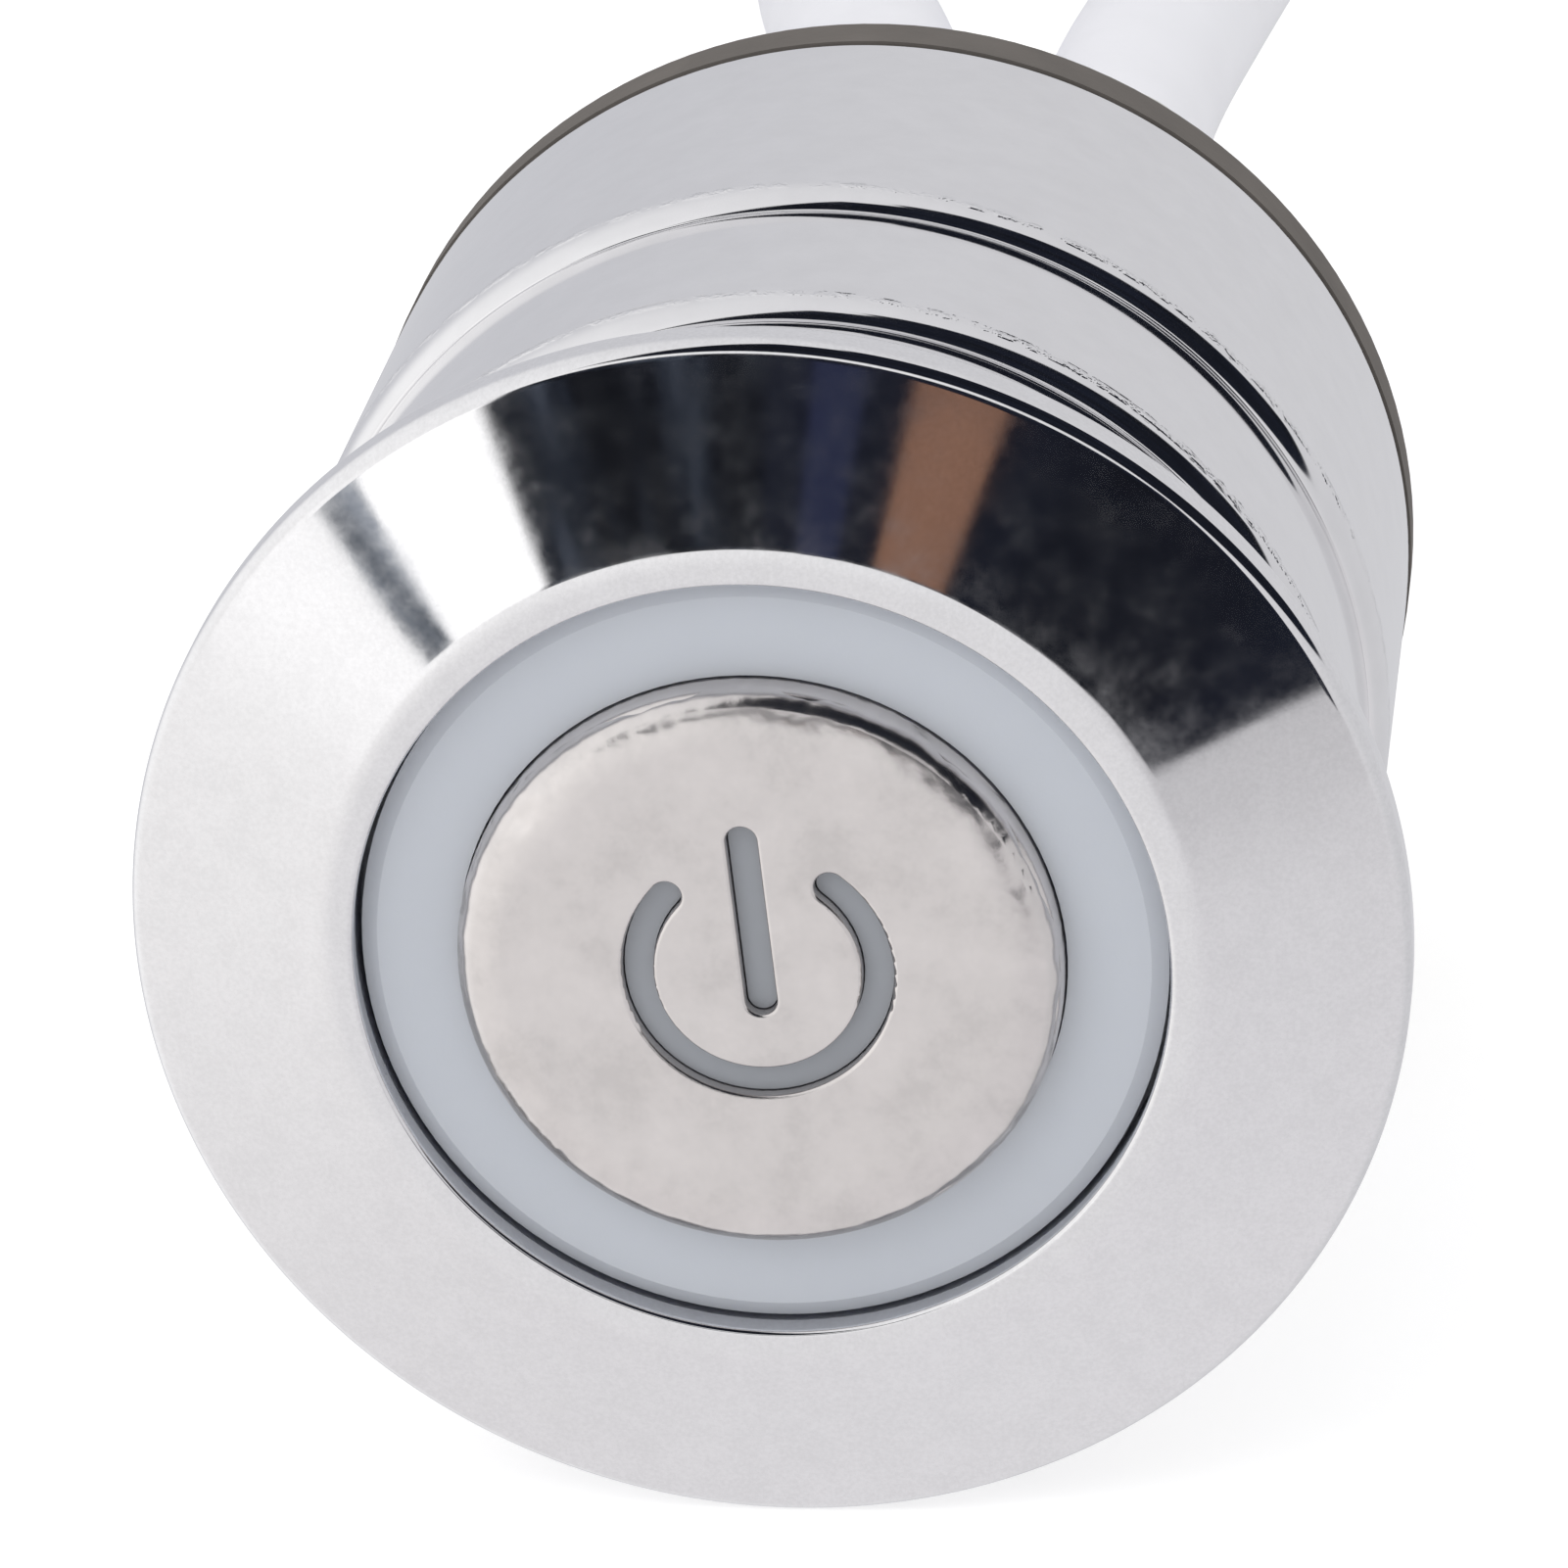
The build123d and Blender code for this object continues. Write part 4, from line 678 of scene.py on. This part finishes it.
class TOUCHSWITCH_OT_sleeves(bpy.types.Operator):
    """Adds the outer skins of the two chromed sleeves, each with a rounded front corner"""

    bl_idname = "touch_switch.sleeves"
    bl_label = "Sleeves"

    def execute(self, context):
        s = sizes()
        material = sleeve_chrome_material()
        front_r = s.skirt_radius + s.sleeve_step
        rear_r = front_r + s.sleeve_step
        front_bore, rear_bore = s.skirt_radius - 0.85 * MM, 15.95 * MM
        gasket_y = -1.97 * MM
        for name, outer, inner, front_y, back_y, back_cut in (
            ("front_sleeve", front_r, front_bore, s.front_joint_y, s.rear_joint_y, 0.05 * MM),
            ("rear_sleeve", rear_r, rear_bore, s.rear_joint_y, gasket_y, 0.12 * MM),
        ):
            profile, mask = sleeve_profile(outer, inner, front_y, back_y, back_cut)
            place(name + "_skin", turned(name + "_skin", profile, mask), material, name)
        return {"FINISHED"}


class TOUCHSWITCH_OT_stem(bpy.types.Operator):
    """Adds the stem with its thread, as one helical surface round a tube"""

    bl_idname = "touch_switch.stem"
    bl_label = "Threaded stem"

    def execute(self, context):
        """With f the fraction of y / pitch - a / turn, the crest is 1.35 (1 - |2 f - 1|) - 0.12, held between
        0 and 1, and r = outer - depth (1 - crest) fade - cut. The fade takes the thread away at both ends and
        the cut bevels the stem's mouth. Inside the body the stem is a plain tube."""
        s = sizes()
        outer, inner, low, high = 10.0 * MM, 8.2 * MM, -5.0 * MM, 12.0 * MM
        thread_y, lead_in, run_out, mouth = -0.6 * MM, 0.8 * MM, 0.9 * MM, 0.6 * MM
        angle = np.arange(120) * TURN / 120
        y = np.linspace(thread_y, high - 0.25 * MM, 190)[:, None]
        fraction = (y / s.thread_pitch - angle / TURN) % 1.0
        crest = np.clip(1.35 * (1 - np.abs(2 * fraction - 1)) - 0.12, 0, 1)
        fade = np.clip((y - thread_y) / lead_in, 0, 1) * np.clip((high - y) / run_out, 0, 1)
        cut = np.clip((y - high + mouth) / mouth, 0, 1) * mouth
        thread = rings((outer - s.thread_depth * (1 - crest) * fade - cut, y), angle)
        ends = np.array([(inner, high), (inner, low), (outer, low), (outer, thread_y - 0.1 * MM)])
        tube = rings((ends[:, 0:1], ends[:, 1:2]), angle)
        mesh = grid_mesh("stem_skin", np.concatenate([thread, tube])[::-1], closed_u=True, closed_v=True)
        mesh.set_sharp_from_angle(angle=math.radians(35))
        nickel = metal_material("stem_nickel", (0.62, 0.60, 0.56), 0.28)
        place("stem_skin", mesh, nickel, "threaded_stem")
        return {"FINISHED"}


class TOUCHSWITCH_OT_finishes(bpy.types.Operator):
    """Gives every CAD node that stays its own finish"""

    bl_idname = "touch_switch.finishes"
    bl_label = "Finishes"

    def execute(self, context):
        plastic, metal = plastic_material, metal_material
        gasket = tuple(colours().gasket)
        for material, *nodes in (
            (bpy.data.materials["lead_sheath"], "supply_sheath", "load_sheath"),
            (satin_nickel_material(), "touch_button"),
            (guide_material(), "light_guide"),
            (plastic("baffle_plastic", (0.86, 0.86, 0.84)), "light_baffle", "board_spacer"),
            (plastic("board", (0.04, 0.20, 0.09), 0.35, grain=6), "led_board", "control_board"),
            (plastic("led", (0.88, 0.85, 0.55), 0.2, grain=2), "leds"),
            (metal("spring_brass", (0.78, 0.64, 0.34), 0.25), "touch_spring"),
            (plastic("header_plastic", (0.02, 0.02, 0.022)), "pin_header"),
            (metal("pin_brass", (0.80, 0.68, 0.38), 0.22), "header_pins"),
            (plastic("chip_plastic", (0.025, 0.025, 0.028), 0.45), "touch_chip", "power_transistors"),
            (metal("can_aluminium", (0.78, 0.79, 0.80), 0.3), "smoothing_capacitor"),
            (plastic("resistor_body", (0.03, 0.03, 0.035), 0.4), "chip_resistors"),
            (plastic("capacitor_body", (0.42, 0.30, 0.18), 0.4), "chip_capacitors"),
            (plastic("seal_rubber", (0.015, 0.015, 0.015), 0.55), "skirt_seal", "sleeve_seal", "cap_seal"),
            (plastic("cap_plastic", (0.03, 0.03, 0.032), grain=20, grain_scale=1800), "rear_cap"),
            (metal("fastener_steel", (0.60, 0.60, 0.61), 0.3), "cap_screws", "washer", "clamp_screws"),
            (plastic("gasket_rubber", gasket, 0.7, 30, 1500, 0.12, specular=0.25), "gasket"),
            (metal("nut_nickel", (0.66, 0.64, 0.60), 0.25), "nut"),
            (plastic("clamp_plastic", (0.05, 0.05, 0.055)), "cord_clamp"),
            (plastic("brown_core", (0.14, 0.055, 0.025), 0.4), "brown_cores"),
            (plastic("blue_core", (0.03, 0.10, 0.36), 0.4), "blue_cores"),
            (plastic("tie_nylon", (0.78, 0.78, 0.76), 0.4, grain_scale=2000), "cord_ties"),
            (plastic("boot_rubber", (0.70, 0.70, 0.69), 0.6, 20, 1600, 0.04, specular=0.3), "cord_boot"),
            (plastic("connector_plastic", (0.74, 0.74, 0.73), 0.4, 8), "supply_connector", "load_connector"),
            (metal("contact_metal", (0.74, 0.66, 0.44), 0.25), "supply_contacts", "load_contacts"),
        ):
            for node in nodes:
                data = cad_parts[node].data
                data.materials.clear()
                data.materials.append(material)
        return {"FINISHED"}


# Studio


def direction(azimuth, elevation):
    """The direction (cos e sin a, -cos e cos a, sin e): azimuth a turns from the front (-Y) towards +X, and
    elevation e rises from the horizon, both in radians."""
    level = np.cos(elevation)
    return np.stack([level * np.sin(azimuth), -level * np.cos(azimuth), np.sin(elevation)], axis=-1)


def round_the_face(directions, distance):
    """Points that far from the middle of the bezel's edge, in metres."""
    return directions * distance + np.array([0.0, sizes().edge_y, 0.0])


def stage_piece(name, mesh, material):
    """Links a mesh as part of the studio, which is no part of the switch."""
    thing = bpy.data.objects.new(name, mesh)
    bpy.context.scene.collection.objects.link(thing)
    mesh.materials.append(material)
    return thing


def hide_but_reflect(thing):
    """Leaves an object to mirror-like reflections alone: no camera, no soft light, no shadow."""
    thing.visible_camera = False
    thing.visible_diffuse = False
    thing.visible_shadow = False
    thing.visible_transmission = False
    thing.visible_volume_scatter = False


def reflector_material(name, tones, cloud_scale):
    """A reflector's glow: clouded tones on object coordinates, faded at the edges by the mesh's mask."""
    material, tree, glow = glowing_material(name)
    noise = object_noise(tree, cloud_scale, detail=5.0, roughness=0.6)
    tree.links.new(ramp(tree, noise, tones), glow.inputs["Color"])
    clear = tree.nodes.new("ShaderNodeBsdfTransparent")
    mix = tree.nodes.new("ShaderNodeMixShader")
    tree.links.new(mesh_mask(tree), mix.inputs["Fac"])
    tree.links.new(clear.outputs[0], mix.inputs[1])
    tree.links.new(glow.outputs[0], mix.inputs[2])
    tree.links.new(mix.outputs[0], tree.nodes["Material Output"].inputs["Surface"])
    return material


def reflector(name, distance, azimuths, elevations, feather, lower, upper, tones, cloud_scale):
    """A patch of a sphere round the switch's face that shows in reflections only. It fades over the feather
    at its edges. A lower or an upper edge may be given as azimuths and elevations that are joined by straight
    lines. Angles are in degrees."""
    (left, right), (bottom, top) = azimuths, elevations
    rise, across = np.meshgrid(np.linspace(0, 1, 49), np.linspace(0, 1, 65), indexing="ij")
    azimuth = left + (right - left) * across
    low = np.interp(azimuth, *lower) if lower else bottom
    high = np.interp(azimuth, *upper) if upper else top
    elevation = low + (high - low) * rise
    points = round_the_face(direction(np.radians(azimuth), np.radians(elevation)), distance)
    side_fade = np.clip(np.minimum(across, 1 - across) * (right - left) / feather, 0, 1)
    end_fade = np.clip(np.minimum(rise, 1 - rise) * (top - bottom) / feather, 0, 1)
    mesh = grid_mesh(name, points, closed_u=False, closed_v=False, mask=side_fade * end_fade)
    hide_but_reflect(stage_piece(name, mesh, reflector_material(name, tones, cloud_scale)))


def studio_dome():
    """The white room seen in the metal: a sphere whose tone changes smoothly with direction.

    Its tone is the mean of the lobes' tones, each weighed by exp((c - 1) / w^2), with c the cosine of the
    angle from the lobe's middle and w its width."""
    elevation, azimuth = np.meshgrid(
        np.linspace(-math.pi / 2, math.pi / 2, 61), np.arange(120) * TURN / 120, indexing="ij"
    )
    outward = direction(azimuth, elevation)
    mesh = grid_mesh("studio_dome", round_the_face(outward, DOME_DISTANCE), closed_u=False, closed_v=True)
    lobes = np.array(DOME_LOBES)
    middles = direction(np.radians(lobes[:, 0]), np.radians(lobes[:, 1]))
    weight = np.exp((outward @ middles.T - 1) / np.radians(lobes[:, 2]) ** 2)
    tone = weight @ lobes[:, 3:] / weight.sum(axis=2, keepdims=True)
    rgba = np.concatenate([tone, np.ones(tone.shape[:2] + (1,))], axis=2)
    attribute = mesh.attributes.new("tone", "FLOAT_COLOR", "POINT")
    attribute.data.foreach_set("color", rgba.astype(np.float32).ravel())
    material, tree, glow = glowing_material("studio_dome")
    tones = tree.nodes.new("ShaderNodeAttribute")
    tones.attribute_name = "tone"
    tree.links.new(tones.outputs["Color"], glow.inputs["Color"])
    tree.links.new(glow.outputs[0], tree.nodes["Material Output"].inputs["Surface"])
    hide_but_reflect(stage_piece("studio_dome", mesh, material))


def studio_floor():
    """A pale round floor, flat rings whose radius grows with the square of their number. The camera sees a
    little glow added to its colour."""
    ring = np.linspace(0, 1, 40)[:, None] ** 2 * FLOOR_RADIUS
    angle = np.arange(96) * TURN / 96
    points = np.stack(np.broadcast_arrays(ring * np.cos(angle), ring * np.sin(angle), FLOOR_Z), axis=2)
    mesh = grid_mesh("floor", points, closed_u=False, closed_v=True)
    material, tree, glow = glowing_material("floor")
    paper = tree.nodes.new("ShaderNodeBsdfDiffuse")
    paper.inputs["Color"].default_value = (0.84, 0.84, 0.84, 1)
    seen = tree.nodes.new("ShaderNodeLightPath").outputs["Is Camera Ray"]
    tree.links.new(spread(tree, seen, 0, 1, 0, studio().floor_glow), glow.inputs["Strength"])
    both = tree.nodes.new("ShaderNodeAddShader")
    tree.links.new(paper.outputs[0], both.inputs[0])
    tree.links.new(glow.outputs[0], both.inputs[1])
    tree.links.new(both.outputs[0], tree.nodes["Material Output"].inputs["Surface"])
    stage_piece("floor", mesh, material).visible_glossy = False


def white_world(scene):
    """An even white world: a plain level on surfaces, and full white to the camera, in mirrors and glass."""
    world = bpy.data.worlds.new("studio_world")
    scene.world = world
    world.use_nodes = True
    tree = world.node_tree
    background = tree.nodes["Background"]
    background.inputs["Color"].default_value = (1, 1, 1, 1)
    rays = tree.nodes.new("ShaderNodeLightPath").outputs
    seen = combined(tree, "MAXIMUM", rays["Is Camera Ray"], rays["Is Glossy Ray"])
    seen = combined(tree, "MAXIMUM", seen, rays["Is Transmission Ray"])
    tree.links.new(spread(tree, seen, 0, 1, studio().world_level, 1.0), background.inputs["Strength"])


def area_lamp(name, location, target, size, power):
    """A soft square lamp that lights surfaces but isn't mirrored in the chrome."""
    data = bpy.data.lights.new(name, "AREA")
    data.size = size
    data.energy = power
    lamp = bpy.data.objects.new(name, data)
    bpy.context.scene.collection.objects.link(lamp)
    back = np.array(location) - np.array(target)
    back /= np.linalg.norm(back)
    right = np.cross([0.0, 0.0, 1.0], back)
    right /= np.linalg.norm(right)
    aim(lamp, right, np.cross(back, right), back, location)
    lamp.visible_glossy = False


class TOUCHSWITCH_OT_stage(bpy.types.Operator):
    """Adds the pale floor, the lamps, the white world and what the chrome mirrors"""

    bl_idname = "touch_switch.stage"
    bl_label = "Stage"

    def execute(self, context):
        white_world(context.scene)
        studio_floor()
        studio_dome()
        for patch in REFLECTORS:
            reflector(*patch)
        area_lamp("key_lamp", (-0.42, -0.45, 0.62), (0, -0.01, 0), 0.5, studio().key_power)
        area_lamp("fill_lamp", (0.5, 0.3, 0.45), (0, 0.02, 0), 0.45, studio().fill_power)
        context.scene.view_settings.view_transform = "Standard"
        return {"FINISHED"}


class TOUCHSWITCH_PT_pieces(bpy.types.Panel):
    """Lists the switch's builders and sizes"""

    bl_label = "Touch Switch"
    bl_idname = "TOUCHSWITCH_PT_pieces"
    bl_space_type = "VIEW_3D"
    bl_region_type = "UI"
    bl_category = "Touch Switch"

    def draw(self, context):
        for operator in OPERATORS:
            self.layout.operator(operator.bl_idname)
        for group in (sizes(), lead_sizes(), colours(), studio()):
            box = self.layout.box()
            for name in group.bl_rna.properties.keys():
                if name not in ("rna_type", "name"):
                    box.prop(group, name)


GROUPS = (
    (SwitchSizes, "touch_switch_sizes"),
    (LeadSizes, "touch_switch_leads"),
    (SwitchColours, "touch_switch_colours"),
    (StudioSettings, "touch_switch_studio"),
)
OPERATORS = (
    TOUCHSWITCH_OT_camera,
    TOUCHSWITCH_OT_leads,
    TOUCHSWITCH_OT_bezel,
    TOUCHSWITCH_OT_sleeves,
    TOUCHSWITCH_OT_stem,
    TOUCHSWITCH_OT_finishes,
    TOUCHSWITCH_OT_stage,
)


def register():
    """Registers the classes and hangs the property groups on the scene."""
    for group, name in GROUPS:
        bpy.utils.register_class(group)
        setattr(bpy.types.Scene, name, bpy.props.PointerProperty(type=group))
    for cls in (*OPERATORS, TOUCHSWITCH_PT_pieces):
        bpy.utils.register_class(cls)


def unregister():
    """Takes back what register did, last first."""
    for cls in (TOUCHSWITCH_PT_pieces, *reversed(OPERATORS)):
        bpy.utils.unregister_class(cls)
    for group, name in reversed(GROUPS):
        delattr(bpy.types.Scene, name)
        bpy.utils.unregister_class(group)


def main():
    """Builds everything in order."""
    register()
    bpy.ops.touch_switch.camera()
    bpy.ops.touch_switch.leads()
    bpy.ops.touch_switch.bezel()
    bpy.ops.touch_switch.sleeves()
    bpy.ops.touch_switch.stem()
    bpy.ops.touch_switch.finishes()
    bpy.ops.touch_switch.stage()


if __name__ == "__main__":
    main()
